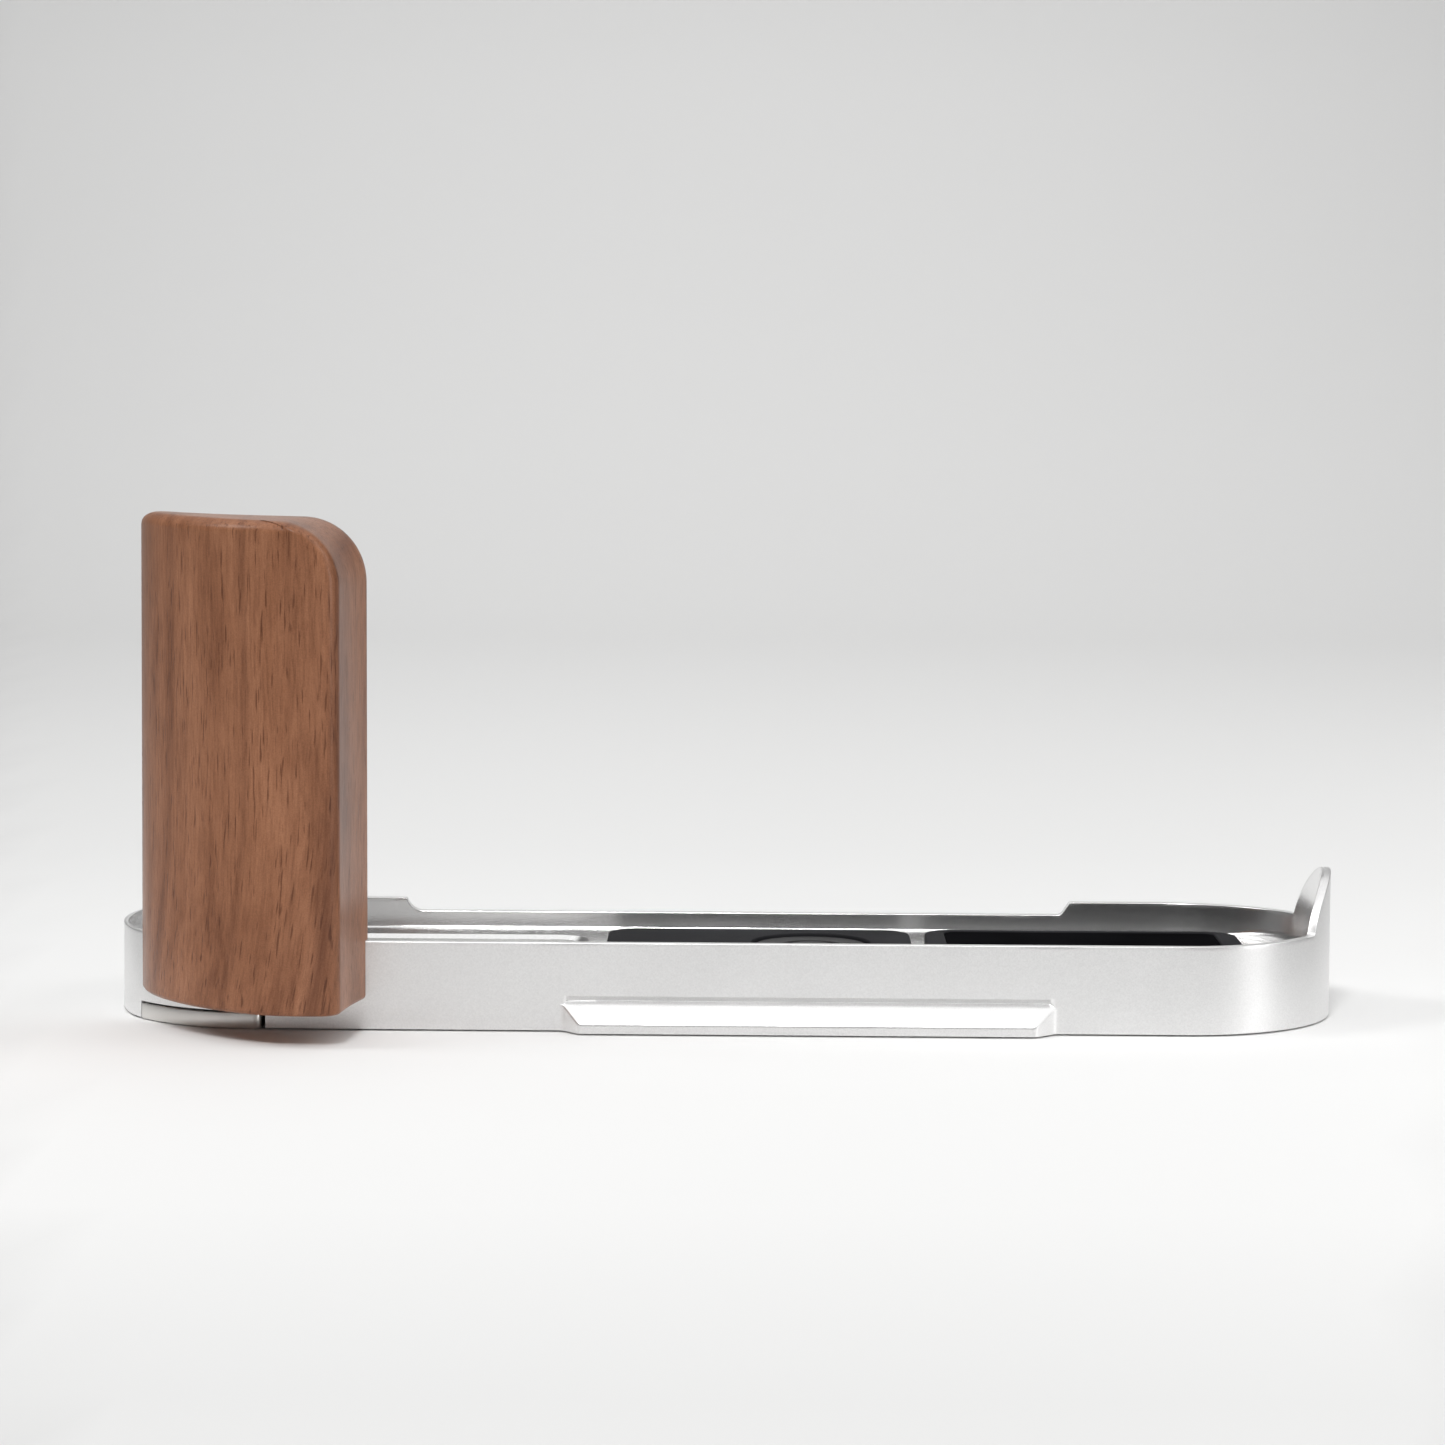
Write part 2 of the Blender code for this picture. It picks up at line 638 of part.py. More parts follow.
def side_pad(material):
    """The rubber frame at the +X end."""
    half = PAD_DEPTH / 2
    outline = rounded_box(SIDE_PAD_LEFT, SIDE_PAD_RIGHT, -half, half, PAD_CORNER)
    pad = add_object("side_pad", prism("side_pad", outline, FLOOR_TOP, PAD_TOP), material)
    low, high = FLOOR_TOP - CUT_OVERRUN, PAD_TOP + CUT_OVERRUN
    cut(pad, prism("window_cutter", window_outline(0), low, high))
    return pad


def side_pad_insert(material):
    """The softer black sheet inside the frame."""
    outline = window_outline(PAD_CLEARANCE)
    mesh = prism("side_pad_insert", outline, FLOOR_TOP, FLOOR_TOP + INSERT_PAD_HEIGHT)
    return add_object("side_pad_insert", mesh, material)


def end_pad(material):
    """The pad between the battery opening and the -X end."""
    radius = INNER_RADIUS - END_PAD_MARGIN
    chord = OPENING_LEFT - END_PAD_TO_OPENING
    chord_turn = degrees(acos((chord + END_X) / radius))
    front_turn = 180 + degrees(asin(-END_PAD_FRONT / radius))
    outline = arc((-END_X, 0), radius, chord_turn, front_turn) + [(chord, END_PAD_FRONT)]
    return add_object("end_pad", prism("end_pad", outline, FLOOR_TOP, PAD_TOP), material)


def strap_lug(material):
    """The swing-out steel arm with its eye; its object's origin is on its pivot."""
    pivot = pivot_place()
    mesh = prism("strap_lug", lug_outline(0, 0), LUG_BOTTOM, LUG_TOP)
    lug = add_object("strap_lug", mesh, material, (*pivot, LUG_BOTTOM))
    eye = [(LUG_EYE_RADIUS, -CUT_OVERRUN), (LUG_EYE_RADIUS, LUG_TOP + CUT_OVERRUN)]
    eye_place = end_place(LUG_EYE_ANGLE, END_RADIUS - LUG_WIDTH / 2)
    cut(lug, turned("lug_eye_cutter", eye, SMALL_SIDES, eye_place))
    shoulder = PIVOT_SHOULDER_RADIUS + PIVOT_CLEARANCE
    head = PIVOT_HEAD_RADIUS + PIVOT_CLEARANCE
    head_top = LUG_BOTTOM + PIVOT_HEAD_HEIGHT + PIVOT_CLEARANCE
    bore = [
        (head, -CUT_OVERRUN),
        (head, head_top),
        (shoulder, head_top),
        (shoulder, LUG_TOP + CUT_OVERRUN),
    ]
    cut(lug, turned("lug_bore_cutter", bore, SMALL_SIDES, pivot))
    soften(lug)
    return lug


def lug_pivot_screw(material):
    """The shoulder screw that the lug turns on, put in from below."""
    low = LUG_BOTTOM
    head_top = low + PIVOT_HEAD_HEIGHT
    shoulder_top = POCKET_CEILING - COUNTERSINK_GAP
    end = POCKET_CEILING + PIVOT_THREAD_LENGTH
    profile = [
        (PIVOT_SOCKET_RADIUS, low + PIVOT_SOCKET_DEPTH),
        (PIVOT_SOCKET_RADIUS, low),
        (PIVOT_HEAD_RADIUS, low),
        (PIVOT_HEAD_RADIUS, head_top),
        (PIVOT_SHOULDER_RADIUS, head_top),
        (PIVOT_SHOULDER_RADIUS, shoulder_top),
        (PIVOT_THREAD_RADIUS, shoulder_top),
        (PIVOT_THREAD_RADIUS, end),
    ]
    mesh = turned("lug_pivot_screw", profile, SMALL_SIDES, pivot_place())
    screw = add_object("lug_pivot_screw", mesh, material)
    soften(screw)
    return screw


def lug_magnet(material):
    """The disc that parks the lug, flush with the pocket's ceiling."""
    low = POCKET_CEILING
    profile = [(MAGNET_RADIUS, low), (MAGNET_RADIUS, low + MAGNET_HEIGHT)]
    place = end_place(MAGNET_ANGLE, END_RADIUS - LUG_WIDTH / 2)
    magnet = add_object("lug_magnet", turned("lug_magnet", profile, SMALL_SIDES, place), material)
    soften(magnet)
    return magnet


def along_minus_y(x, y, z):
    """Stand a turned piece at a place, with its own +Z turned to -Y."""
    return Matrix.Translation((x, y, z)) @ Matrix.Rotation(radians(90), 4, "X")


def countersunk_screw(name, radius, head_radius, length):
    """A flat-head screw that points up its own Z, with its socket at the bottom."""
    slope = head_radius - radius
    profile = [
        (SCREW_SOCKET_RADIUS, SCREW_SOCKET_DEPTH),
        (SCREW_SOCKET_RADIUS, 0),
        (head_radius, 0),
        (radius, slope),
        (radius, length),
    ]
    return turned(name, profile, SMALL_SIDES)


def countersink_tool(name, radius, head_radius, length):
    """The hole that such a screw goes into."""
    wide = head_radius + COUNTERSINK_GAP
    narrow = radius + COUNTERSINK_GAP
    slope = wide - narrow
    profile = [(wide, -CUT_OVERRUN), (wide, 0), (narrow, slope), (narrow, length + CUT_OVERRUN)]
    return turned(name, profile, SMALL_SIDES)


def foot_screw_matrix(spot):
    """A foot screw hangs head up, flush with the bracket's foot."""
    top = FLOOR_TOP + BRACKET_FOOT_HEIGHT - COUNTERSINK_GAP
    return Matrix.Translation((*spot, top)) @ Matrix.Rotation(radians(180), 4, "X")


def grip_screw_matrix(spot):
    """A grip screw enters the upright from the camera's side, under the liner."""
    x, z = spot
    return along_minus_y(x, -(INNER_RADIUS + LINER_THICKNESS + COUNTERSINK_GAP), z)


def grip_bracket(material):
    """Foot and upright in one piece, with its holes and the liner's recess."""
    outer = INNER_RADIUS + UPRIGHT_THICKNESS
    middle = (INNER_RADIUS + END_RADIUS) / 2
    low = FLOOR_TOP + FIT_GAP
    above = UPRIGHT_TOP + CUT_OVERRUN
    upright = end_band(INNER_RADIUS, outer, BRACKET_LEFT_ANGLE, BRACKET_RIGHT + CUT_OVERRUN)
    bracket = add_object("grip_bracket", prism("grip_bracket", upright, low, above), material)
    left = end_place(BRACKET_LEFT_ANGLE, END_RADIUS)[0]
    corners = (
        (left, low - CUT_OVERRUN),
        (BRACKET_RIGHT, low - CUT_OVERRUN),
        (BRACKET_RIGHT, UPRIGHT_TOP),
        (left, UPRIGHT_TOP),
    )
    trim = rounded(corners, (0, 0, UPRIGHT_CORNER, UPRIGHT_CORNER))
    cut(bracket, prism_along_y("upright_trim", trim, -outer - CUT_OVERRUN, 0), "INTERSECT")
    heel = end_place(BRACKET_HEEL_ANGLE, INNER_RADIUS - FOOT_FILLET - FIT_GAP)
    toe = BRACKET_RIGHT - FOOT_FILLET
    foot = [(heel[0], BRACKET_FOOT_BACK), heel]
    foot += arc((-END_X, 0), middle, BRACKET_HEEL_ANGLE, 270)
    foot += [(toe, -middle), (toe, BRACKET_FOOT_BACK)]
    foot_top = FLOOR_TOP + BRACKET_FOOT_HEIGHT
    cut(bracket, prism("bracket_foot", foot, FLOOR_TOP, foot_top), "UNION")
    for index, spot in enumerate(FOOT_SCREW_PLACES):
        tool = countersink_tool(
            f"foot_sink_{index}", FOOT_SCREW_RADIUS, FOOT_SCREW_HEAD_RADIUS, BRACKET_FOOT_HEIGHT
        )
        cut(bracket, placed(tool, foot_screw_matrix(spot)))
    cut(bracket, liner_mesh("liner_recess_cutter", 0))
    for index, spot in enumerate(GRIP_SCREW_PLACES):
        tool = countersink_tool(
            f"grip_sink_{index}", GRIP_SCREW_RADIUS, GRIP_SCREW_HEAD_RADIUS, UPRIGHT_THICKNESS
        )
        cut(bracket, placed(tool, grip_screw_matrix(spot)))
    return bracket


def liner_mesh(name, inset):
    """The thin sheet on the upright's inner face, or the recess that it lies in."""
    inner = INNER_RADIUS if inset else INNER_RADIUS - CUT_OVERRUN
    outer = INNER_RADIUS + LINER_THICKNESS - inset
    margin = LINER_MARGIN + inset
    start = BRACKET_LEFT_ANGLE + degrees(margin / END_RADIUS)
    outline = end_band(inner, outer, start, BRACKET_RIGHT - margin)
    low = LINER_BOTTOM + inset
    high = UPRIGHT_TOP - UPRIGHT_CORNER - inset
    return prism(name, outline, low, high)


def bracket_screws(material):
    """The screws that hold the bracket's foot to the floor."""
    for index, spot in enumerate(FOOT_SCREW_PLACES):
        name = f"foot_screw_{index + 1}"
        mesh = countersunk_screw(
            name, FOOT_SCREW_RADIUS, FOOT_SCREW_HEAD_RADIUS, FOOT_SCREW_LENGTH
        )
        soften(add_object(name, placed(mesh, foot_screw_matrix(spot)), material))


def grip_screws(material):
    """The screws that hold the wood to the upright."""
    for index, spot in enumerate(GRIP_SCREW_PLACES):
        name = f"grip_screw_{index + 1}"
        mesh = countersunk_screw(
            name, GRIP_SCREW_RADIUS, GRIP_SCREW_HEAD_RADIUS, GRIP_SCREW_LENGTH
        )
        soften(add_object(name, placed(mesh, grip_screw_matrix(spot)), material))


def insert_front():
    """Where the brass inserts start, just behind the pocket's floor in the wood."""
    return -(INNER_RADIUS + UPRIGHT_THICKNESS + 2 * FIT_GAP)


def grip_inserts(material):
    """Brass threaded inserts in the wood."""
    bore = GRIP_SCREW_RADIUS + COUNTERSINK_GAP
    profile = [
        (bore, 0),
        (GRIP_INSERT_RADIUS, 0),
        (GRIP_INSERT_RADIUS, GRIP_INSERT_LENGTH),
        (bore, GRIP_INSERT_LENGTH),
    ]
    for index, (x, z) in enumerate(GRIP_SCREW_PLACES):
        name = f"grip_insert_{index + 1}"
        mesh = turned(name, profile, SMALL_SIDES, hollow=True)
        soften(add_object(name, placed(mesh, along_minus_y(x, insert_front(), z)), material))


def grip_front_outline():
    """The wood's front in plan, from its thin left end round the belly to the right back edge."""
    length = GRIP_BELLY_X - GRIP_LEFT
    depth = GRIP_SHOULDER_Y - GRIP_FRONT
    power = 2 / GRIP_BELLY_POWER
    steps = 2 * CORNER_STEPS
    belly = []
    for step in range(steps + 1):
        turn = pi / 2 * step / steps
        x = GRIP_BELLY_X - length * cos(turn) ** power
        belly.append((x, GRIP_SHOULDER_Y - depth * sin(turn) ** power))
    back_right = (GRIP_RIGHT, -INNER_RADIUS)
    ridge = (GRIP_RIGHT - GRIP_FLANK_LEAN, GRIP_FRONT)
    corner = rounded((belly[-1], ridge, back_right), (0, GRIP_RIDGE_FILLET, 0))
    return belly + corner[1:]


def grip_section(plan, height):
    """The wood's outline at a height, drawn in where its edges are rounded."""
    over = height - (GRIP_TOP - GRIP_TOP_CORNER)
    right_in = corner_draw(over, GRIP_TOP_CORNER)
    over = height - (GRIP_TOP - GRIP_TOP_LEFT_CORNER)
    left_in = corner_draw(over, GRIP_TOP_LEFT_CORNER)
    over = height - (GRIP_TOP - GRIP_FRONT_FILLET)
    front_in = corner_draw(over, GRIP_FRONT_FILLET)
    under = GRIP_BOTTOM + GRIP_FOOT_FILLET - height
    foot_in = corner_draw(under, GRIP_FOOT_FILLET)
    front_in += foot_in
    width = GRIP_RIGHT - GRIP_LEFT
    front = []
    for x, y in plan:
        share = (x - GRIP_LEFT) / width
        moved = x + (1 - share) * (left_in + foot_in) - share * (right_in + foot_in)
        limit = -grip_back_depth(moved)
        depth_share = (limit - y) / (limit - GRIP_FRONT) if y < limit else 0
        front.append((moved, min(y + front_in * min(1, 2 * depth_share), limit)))
    left, right = front[0][0], front[-1][0]
    steps = 2 * CORNER_STEPS
    back = []
    for step in range(1, steps):
        x = right + (left - right) * step / steps
        back.append((x, -grip_back_depth(x)))
    back.append((left, -grip_back_depth(left)))
    front[-1] = (right, -grip_back_depth(right))
    return [(x, y, height) for x, y in front + back]


def grip_back_depth(x):
    """How far in front of the middle the camera's round end lies at a place along X."""
    if x >= -END_X:
        return INNER_RADIUS
    return sqrt(INNER_RADIUS ** 2 - (x + END_X) ** 2)


def corner_draw(over, radius):
    """How far a rounded edge draws in at a distance past the start of its rounding."""
    if over <= 0:
        return 0
    return radius - sqrt(max(0, radius ** 2 - over ** 2))


def wood_grip(material):
    """The walnut grip, with its pocket for the upright and its seat over the rim."""
    plan = grip_front_outline()
    heights = [GRIP_BOTTOM, GRIP_BOTTOM + GRIP_FOOT_FILLET]
    for radius in (GRIP_TOP_CORNER, GRIP_FRONT_FILLET):
        for step in range(CORNER_STEPS + 1):
            heights.append(GRIP_TOP - radius * (1 - sin(pi / 2 * step / (CORNER_STEPS + 1))))
    heights = sorted(heights)
    rings = [grip_section(plan, height) for height in heights]
    grip = add_object("wood_grip", loft("wood_grip", rings), material)
    seat = plate_outline(-FIT_GAP)
    cut(grip, prism("rim_seat_cutter", seat, -CUT_OVERRUN, RIM_HEIGHT + FIT_GAP))
    outer = INNER_RADIUS + UPRIGHT_THICKNESS + FIT_GAP
    left = BRACKET_LEFT_ANGLE - degrees(FIT_GAP / END_RADIUS)
    pocket = end_band(INNER_RADIUS - CUT_OVERRUN, outer, left, BRACKET_RIGHT + FIT_GAP)
    cut(grip, prism("upright_pocket_cutter", pocket, -CUT_OVERRUN, UPRIGHT_TOP + FIT_GAP))
    radius = GRIP_INSERT_RADIUS + FIT_GAP
    deep = GRIP_INSERT_LENGTH + SCREW_SOCKET_DEPTH
    for index, (x, z) in enumerate(GRIP_SCREW_PLACES):
        drilled = turned(f"insert_cutter_{index}", [(radius, -CUT_OVERRUN), (radius, deep)], SMALL_SIDES)
        cut(grip, placed(drilled, along_minus_y(x, insert_front(), z)))
    soften(grip, 40)
    return grip


def clear_scene():
    """Start from an empty scene."""
    for thing in list(bpy.data.objects):
        bpy.data.objects.remove(thing, do_unlink=True)


def main():
    """Model every piece."""
    clear_scene()
    aluminium = finish("anodised_aluminium", (0.72, 0.72, 0.71), 0.38, 1.0)
    bracket_metal = finish("bracket_aluminium", (0.66, 0.66, 0.66), 0.42, 1.0)
    steel = finish("polished_steel", (0.62, 0.61, 0.58), 0.22, 1.0)
    black_steel = finish("black_steel", (0.03, 0.03, 0.03), 0.45, 1.0)
    brass = finish("brass", (0.75, 0.58, 0.30), 0.30, 1.0)
    magnet = finish("magnet_nickel", (0.55, 0.55, 0.56), 0.20, 1.0)
    rubber = finish("pad_rubber", (0.045, 0.045, 0.05), 0.75, 0.0)
    black_foam = finish("insert_foam", (0.010, 0.010, 0.011), 0.90, 0.0)
    nylon = finish("black_nylon", (0.015, 0.015, 0.016), 0.55, 0.0)
    walnut = finish("walnut", (0.28, 0.13, 0.08), 0.42, 0.0)

    base_plate(aluminium)
    grip_bracket(bracket_metal)
    bracket_screws(steel)
    liner = add_object("upright_liner", liner_mesh("upright_liner", FIT_GAP), rubber)
    soften(liner)
    wood_grip(walnut)
    grip_screws(steel)
    grip_inserts(brass)
    centre_pad(rubber)
    side_pad(rubber)
    side_pad_insert(black_foam)
    end_pad(rubber)
    camera_screw(black_steel)
    centre = (SCREW_X, 0)
    bore = THREAD_RADIUS + RUNNING_CLEARANCE
    low = SCREW_STAND + SCREW_HEAD_HEIGHT
    washer("screw_washer", bore, THRUST_WASHER_WIDTH, low, THRUST_WASHER_HEIGHT, centre,
           TURNED_SIDES, nylon)
    washer("screw_retainer", bore, RETAINER_WIDTH, FLOOR_TOP, RETAINER_HEIGHT, centre,
           TURNED_SIDES, nylon)
    tripod_bush(steel)
    strap_lug(steel)
    lug_pivot_screw(steel)
    bore = PIVOT_SHOULDER_RADIUS + PIVOT_CLEARANCE
    low = POCKET_CEILING - WAVE_WASHER_HEIGHT - COUNTERSINK_GAP / 2
    washer("lug_wave_washer", bore, WAVE_WASHER_WIDTH, low, WAVE_WASHER_HEIGHT, pivot_place(),
           SMALL_SIDES, steel)
    lug_magnet(magnet)


main()
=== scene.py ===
# %% [markdown]
# # A camera hand grip on a pale sweep
#
# The real object is an aluminium tray that screws under a camera, with a walnut grip at one end.
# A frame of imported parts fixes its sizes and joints, and this script dresses it with finer shapes,
# finishes and light. Each cell makes one piece, or a group of like pieces, and says what it made.
# Shapes are given in millimetres and scaled to metres as they are built. The materials, the
# sweep, the lamps and the camera are in metres.

import math

import bmesh
import bpy
import numpy as np
from mathutils import Matrix, Vector


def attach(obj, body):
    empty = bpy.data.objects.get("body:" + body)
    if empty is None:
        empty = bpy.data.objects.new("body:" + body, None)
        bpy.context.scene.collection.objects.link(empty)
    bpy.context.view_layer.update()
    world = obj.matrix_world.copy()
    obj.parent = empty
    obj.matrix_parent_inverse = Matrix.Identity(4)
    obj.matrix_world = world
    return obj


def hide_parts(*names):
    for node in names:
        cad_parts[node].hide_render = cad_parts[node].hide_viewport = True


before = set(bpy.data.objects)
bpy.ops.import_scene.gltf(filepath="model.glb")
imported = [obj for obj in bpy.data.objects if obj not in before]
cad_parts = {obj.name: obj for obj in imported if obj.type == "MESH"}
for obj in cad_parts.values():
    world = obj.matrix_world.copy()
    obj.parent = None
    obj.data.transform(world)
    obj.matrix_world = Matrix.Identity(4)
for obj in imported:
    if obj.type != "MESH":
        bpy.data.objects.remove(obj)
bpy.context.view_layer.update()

# %% [markdown]
# ## Sizes
#
# Seen from above, the plate is a stadium: two straight sides and two full-round ends. It could be
# drawn as a curve, but every place on it also needs a wall, a rim and perhaps a lip. So a place is
# one number, the distance along the outer face from the front left, and an inward offset.

# %% Sizes
MM = 0.001
END_R = 17.0
END_X = 49.0
WALL = 1.0
RIM_Z = 9.5
FLOOR_Z = 6.17
PAD_Z = 7.2
INNER_R = END_R - WALL
STRAIGHT = 2 * END_X
HALF_TURN = math.pi * END_R
AROUND = 2 * (STRAIGHT + HALF_TURN)
SCREW_X = 9.5
BUSH_X = -8.5
SCREW_BORE_R = 3.275


def place(along, inward):
    """A plan position from a distance along the outer face and an inward offset."""
    along = along % AROUND
    radius = END_R - inward
    if along < STRAIGHT:
        return along - END_X, -radius
    if along < STRAIGHT + HALF_TURN:
        turn = (along - STRAIGHT) / END_R - math.pi / 2
        return END_X + radius * math.cos(turn), radius * math.sin(turn)
    if along < 2 * STRAIGHT + HALF_TURN:
        return END_X - (along - STRAIGHT - HALF_TURN), radius
    turn = (along - 2 * STRAIGHT - HALF_TURN) / END_R + math.pi / 2
    return -END_X + radius * math.cos(turn), radius * math.sin(turn)


print("outer face is", round(AROUND, 1), "mm round")

# %% [markdown]
# ## Mesh helpers
#
# The pieces are milled, turned or cut from sheet. They could be primitives with modifiers, but
# rings of points, one over the other, put each edge at its measured place. Rings of equally many
# points are bridged into walls, and flat faces are filled between an outer loop and its holes.

# %% Mesh helpers
def to_object(name, build, smooth_angle=35.0):
    """Turn a bmesh in millimetres into a shaded object in metres."""
    bmesh.ops.remove_doubles(build, verts=build.verts, dist=1e-5)
    bmesh.ops.recalc_face_normals(build, faces=build.faces)
    bmesh.ops.scale(build, vec=(MM, MM, MM), verts=build.verts)
    mesh = bpy.data.meshes.new(name)
    build.to_mesh(mesh)
    build.free()
    mesh.shade_smooth()
    mesh.set_sharp_from_angle(angle=math.radians(smooth_angle))
    thing = bpy.data.objects.new(name, mesh)
    bpy.context.scene.collection.objects.link(thing)
    return thing


def bridge(build, rings, closed=False):
    """Faces between successive rings of vertices."""
    pairs = list(zip(rings, rings[1:]))
    if closed:
        pairs.append((rings[-1], rings[0]))
    for low, high in pairs:
        for index in range(len(low)):
            after = (index + 1) % len(low)
            build.faces.new((low[index], low[after], high[after], high[index]))


def loft(build, rings):
    """A solid through successive rings, closed at both ends."""
    bridge(build, rings)
    build.faces.new(list(reversed(rings[0])))
    build.faces.new(rings[-1])


def add_ring(build, points):
    """A ring of vertices."""
    return [build.verts.new(point) for point in points]


def loop_edges(build, ring):
    """The edges of a closed ring, made where they are missing."""
    edges = []
    for index in range(len(ring)):
        pair = (ring[index], ring[(index + 1) % len(ring)])
        edge = build.edges.get(pair)
        if edge is None:
            edge = build.edges.new(pair)
        edges.append(edge)
    return edges


def fill_flat(build, *loops):
    """Fill the flat area between an outer loop and the loops of its holes."""
    edges = []
    for ring in loops:
        edges += loop_edges(build, ring)
    bmesh.ops.triangle_fill(build, use_beauty=True, use_dissolve=False, edges=edges)


print("mesh helpers ready")

# %% [markdown]
# ### Outlines in plan
#
# A milling tool leaves round corners, so a rectangle in plan is joined by four quarter circles. A
# Bevel modifier could round them later. Worked out here, they stay true when an outline is moved
# inwards for a rounded edge.

# %% Outlines in plan
def level(outline, height):
    """Lift a plan outline to a height."""
    return [(x, y, height) for x, y in outline]


def circle(centre, radius, sides=96):
    """A circle in plan."""
    turns = np.arange(sides) * 2 * math.pi / sides
    return [(centre[0] + radius * math.cos(t), centre[1] + radius * math.sin(t)) for t in turns]


def box_outline(left, right, front, back, radius, inset=0.0, steps=10):
    """A rectangle in plan with round corners, moved inwards by an inset."""
    radius = max(radius - inset, 0.02)
    left, right, front, back = left + inset, right - inset, front + inset, back - inset
    centres = (
        (right - radius, front + radius, -90),
        (right - radius, back - radius, 0),
        (left + radius, back - radius, 90),
        (left + radius, front + radius, 180),
    )
    points = []
    for x, y, start in centres:
        for step in range(steps + 1):
            turn = math.radians(start + 90 * step / steps)
            points.append((x + radius * math.cos(turn), y + radius * math.sin(turn)))
    return points


print("outlines ready")

# %% [markdown]
# ### Simple solids
#
# A pad is a slab with softened edges, a screw is a profile turned round its axis, and a cutter is a
# plain prism. Blender's Spin would turn a profile too, but circles in rings keep each step at its
# own height and leave no seam to merge.

# %% Simple solids
def soft_slab(name, outline_at, low, high, edge, steps=3):
    """A flat piece with rounded upper and lower edges; outline_at gives its plan at an inset."""
    build = bmesh.new()
    turns = [math.pi / 2 * step / steps for step in range(steps + 1)]
    levels = [(edge * (1 - math.sin(t)), low + edge * (1 - math.cos(t))) for t in turns]
    levels += [(edge * (1 - math.cos(t)), high - edge * (1 - math.sin(t))) for t in turns]
    loft(build, [add_ring(build, level(outline_at(inset), z)) for inset, z in levels])
    return to_object(name, build)


def turned(name, profile, centre, sides=96, hollow=False):
    """A turned piece from pairs of radius and height, from its lowest to its highest point."""
    build = bmesh.new()
    rings = [add_ring(build, level(circle(centre, radius, sides), z)) for radius, z in profile]
    if hollow:
        bridge(build, rings, closed=True)
    else:
        loft(build, rings)
    return to_object(name, build)


def cutter(name, outline, low, high):
    """A plain prism used to cut."""
    build = bmesh.new()
    loft(build, [add_ring(build, level(outline, z)) for z in (low, high)])
    return to_object(name, build)


print("solids ready")

# %% [markdown]
# ### Cutting, shading and placing
#
# Holes are drilled after a body is milled, and so they are here, by Booleans that are baked at
# once. A Boolean leaves long thin faces that smear the shading of a shiny metal, so the larger
# faces are made to decide it. Last, a piece gets its material and its place in the frame.

# %% Cutting, shading and placing
def carve(thing, tools):
    """Cut several tools out of an object and drop them."""
    for tool in tools:
        step = thing.modifiers.new(tool.name, "BOOLEAN")
        step.operation = "DIFFERENCE"
        step.solver = "EXACT"
        step.object = tool
    settle(thing)
    for tool in tools:
        bpy.data.objects.remove(tool, do_unlink=True)


def settle(thing):
    """Bake an object's modifiers into its mesh."""
    graph = bpy.context.evaluated_depsgraph_get()
    mesh = bpy.data.meshes.new_from_object(thing.evaluated_get(graph))
    thing.modifiers.clear()
    thing.data = mesh


def steady_shading(thing, angle=35.0):
    """Shade by the larger faces, so that flat walls stay flat beside their small rounded edges."""
    thing.data.shade_smooth()
    thing.data.set_sharp_from_angle(angle=math.radians(angle))
    weighted = thing.modifiers.new("weighted", "WEIGHTED_NORMAL")
    weighted.mode = "FACE_AREA"
    weighted.weight = 50
    weighted.keep_sharp = True
    settle(thing)


def dress(thing, body, nodes, material):
    """Give a piece its material and its place in the frame."""
    thing.data.materials.clear()
    thing.data.materials.append(material)
    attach(thing, body)
    if nodes:
        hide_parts(*nodes)


print("cutting, shading and placing ready")

# %% [markdown]
# ## Materials
#
# A real finish is never quite even, so each one here is a small node tree: a slow mottle for the
# colour, and a fine grain for the roughness and the bump. Pictures of surfaces could do the same,
# but noise on object coordinates needs no unwrapping, has no seams and stays with its piece. The
# first cell holds the steps that all finishes share.

# %% Material steps
def new_material(name):
    """An empty node tree with an output, a Principled shader and object coordinates."""
    material = bpy.data.materials.new(name)
    material.use_nodes = True
    tree = material.node_tree
    shader = tree.nodes["Principled BSDF"]
    coordinates = tree.nodes.new("ShaderNodeTexCoord")
    return material, tree, shader, coordinates.outputs["Object"]


def noise(tree, vector, scale, detail=2.0, roughness=0.5, distortion=0.0):
    """A noise texture."""
    node = tree.nodes.new("ShaderNodeTexNoise")
    node.inputs["Scale"].default_value = scale
    node.inputs["Detail"].default_value = detail
    node.inputs["Roughness"].default_value = roughness
    node.inputs["Distortion"].default_value = distortion
    tree.links.new(vector, node.inputs["Vector"])
    return node.outputs["Fac"]


def ramp(tree, value, stops):
    """A colour ramp from pairs of position and colour."""
    node = tree.nodes.new("ShaderNodeValToRGB")
    elements = node.color_ramp.elements
    while len(elements) < len(stops):
        elements.new(0.5)
    for element, (position, colour) in zip(elements, stops):
        element.position = position
        element.color = (*colour, 1.0)
    tree.links.new(value, node.inputs["Fac"])
    return node.outputs["Color"]


def remap(tree, value, low, high):
    """Spread a 0 to 1 value over a range."""
    node = tree.nodes.new("ShaderNodeMapRange")
    node.inputs["To Min"].default_value = low
    node.inputs["To Max"].default_value = high
    tree.links.new(value, node.inputs["Value"])
    return node.outputs["Result"]


def stretch(tree, vector, scale):
    """Object coordinates with their own scale along each axis."""
    node = tree.nodes.new("ShaderNodeMapping")
    node.inputs["Scale"].default_value = scale
    tree.links.new(vector, node.inputs["Vector"])
    return node.outputs["Vector"]


def bump(tree, shader, height, strength, distance):
    """Raise the surface by a height map."""
    node = tree.nodes.new("ShaderNodeBump")
    node.inputs["Strength"].default_value = strength
    node.inputs["Distance"].default_value = distance
    tree.links.new(height, node.inputs["Height"])
    tree.links.new(node.outputs["Normal"], shader.inputs["Normal"])


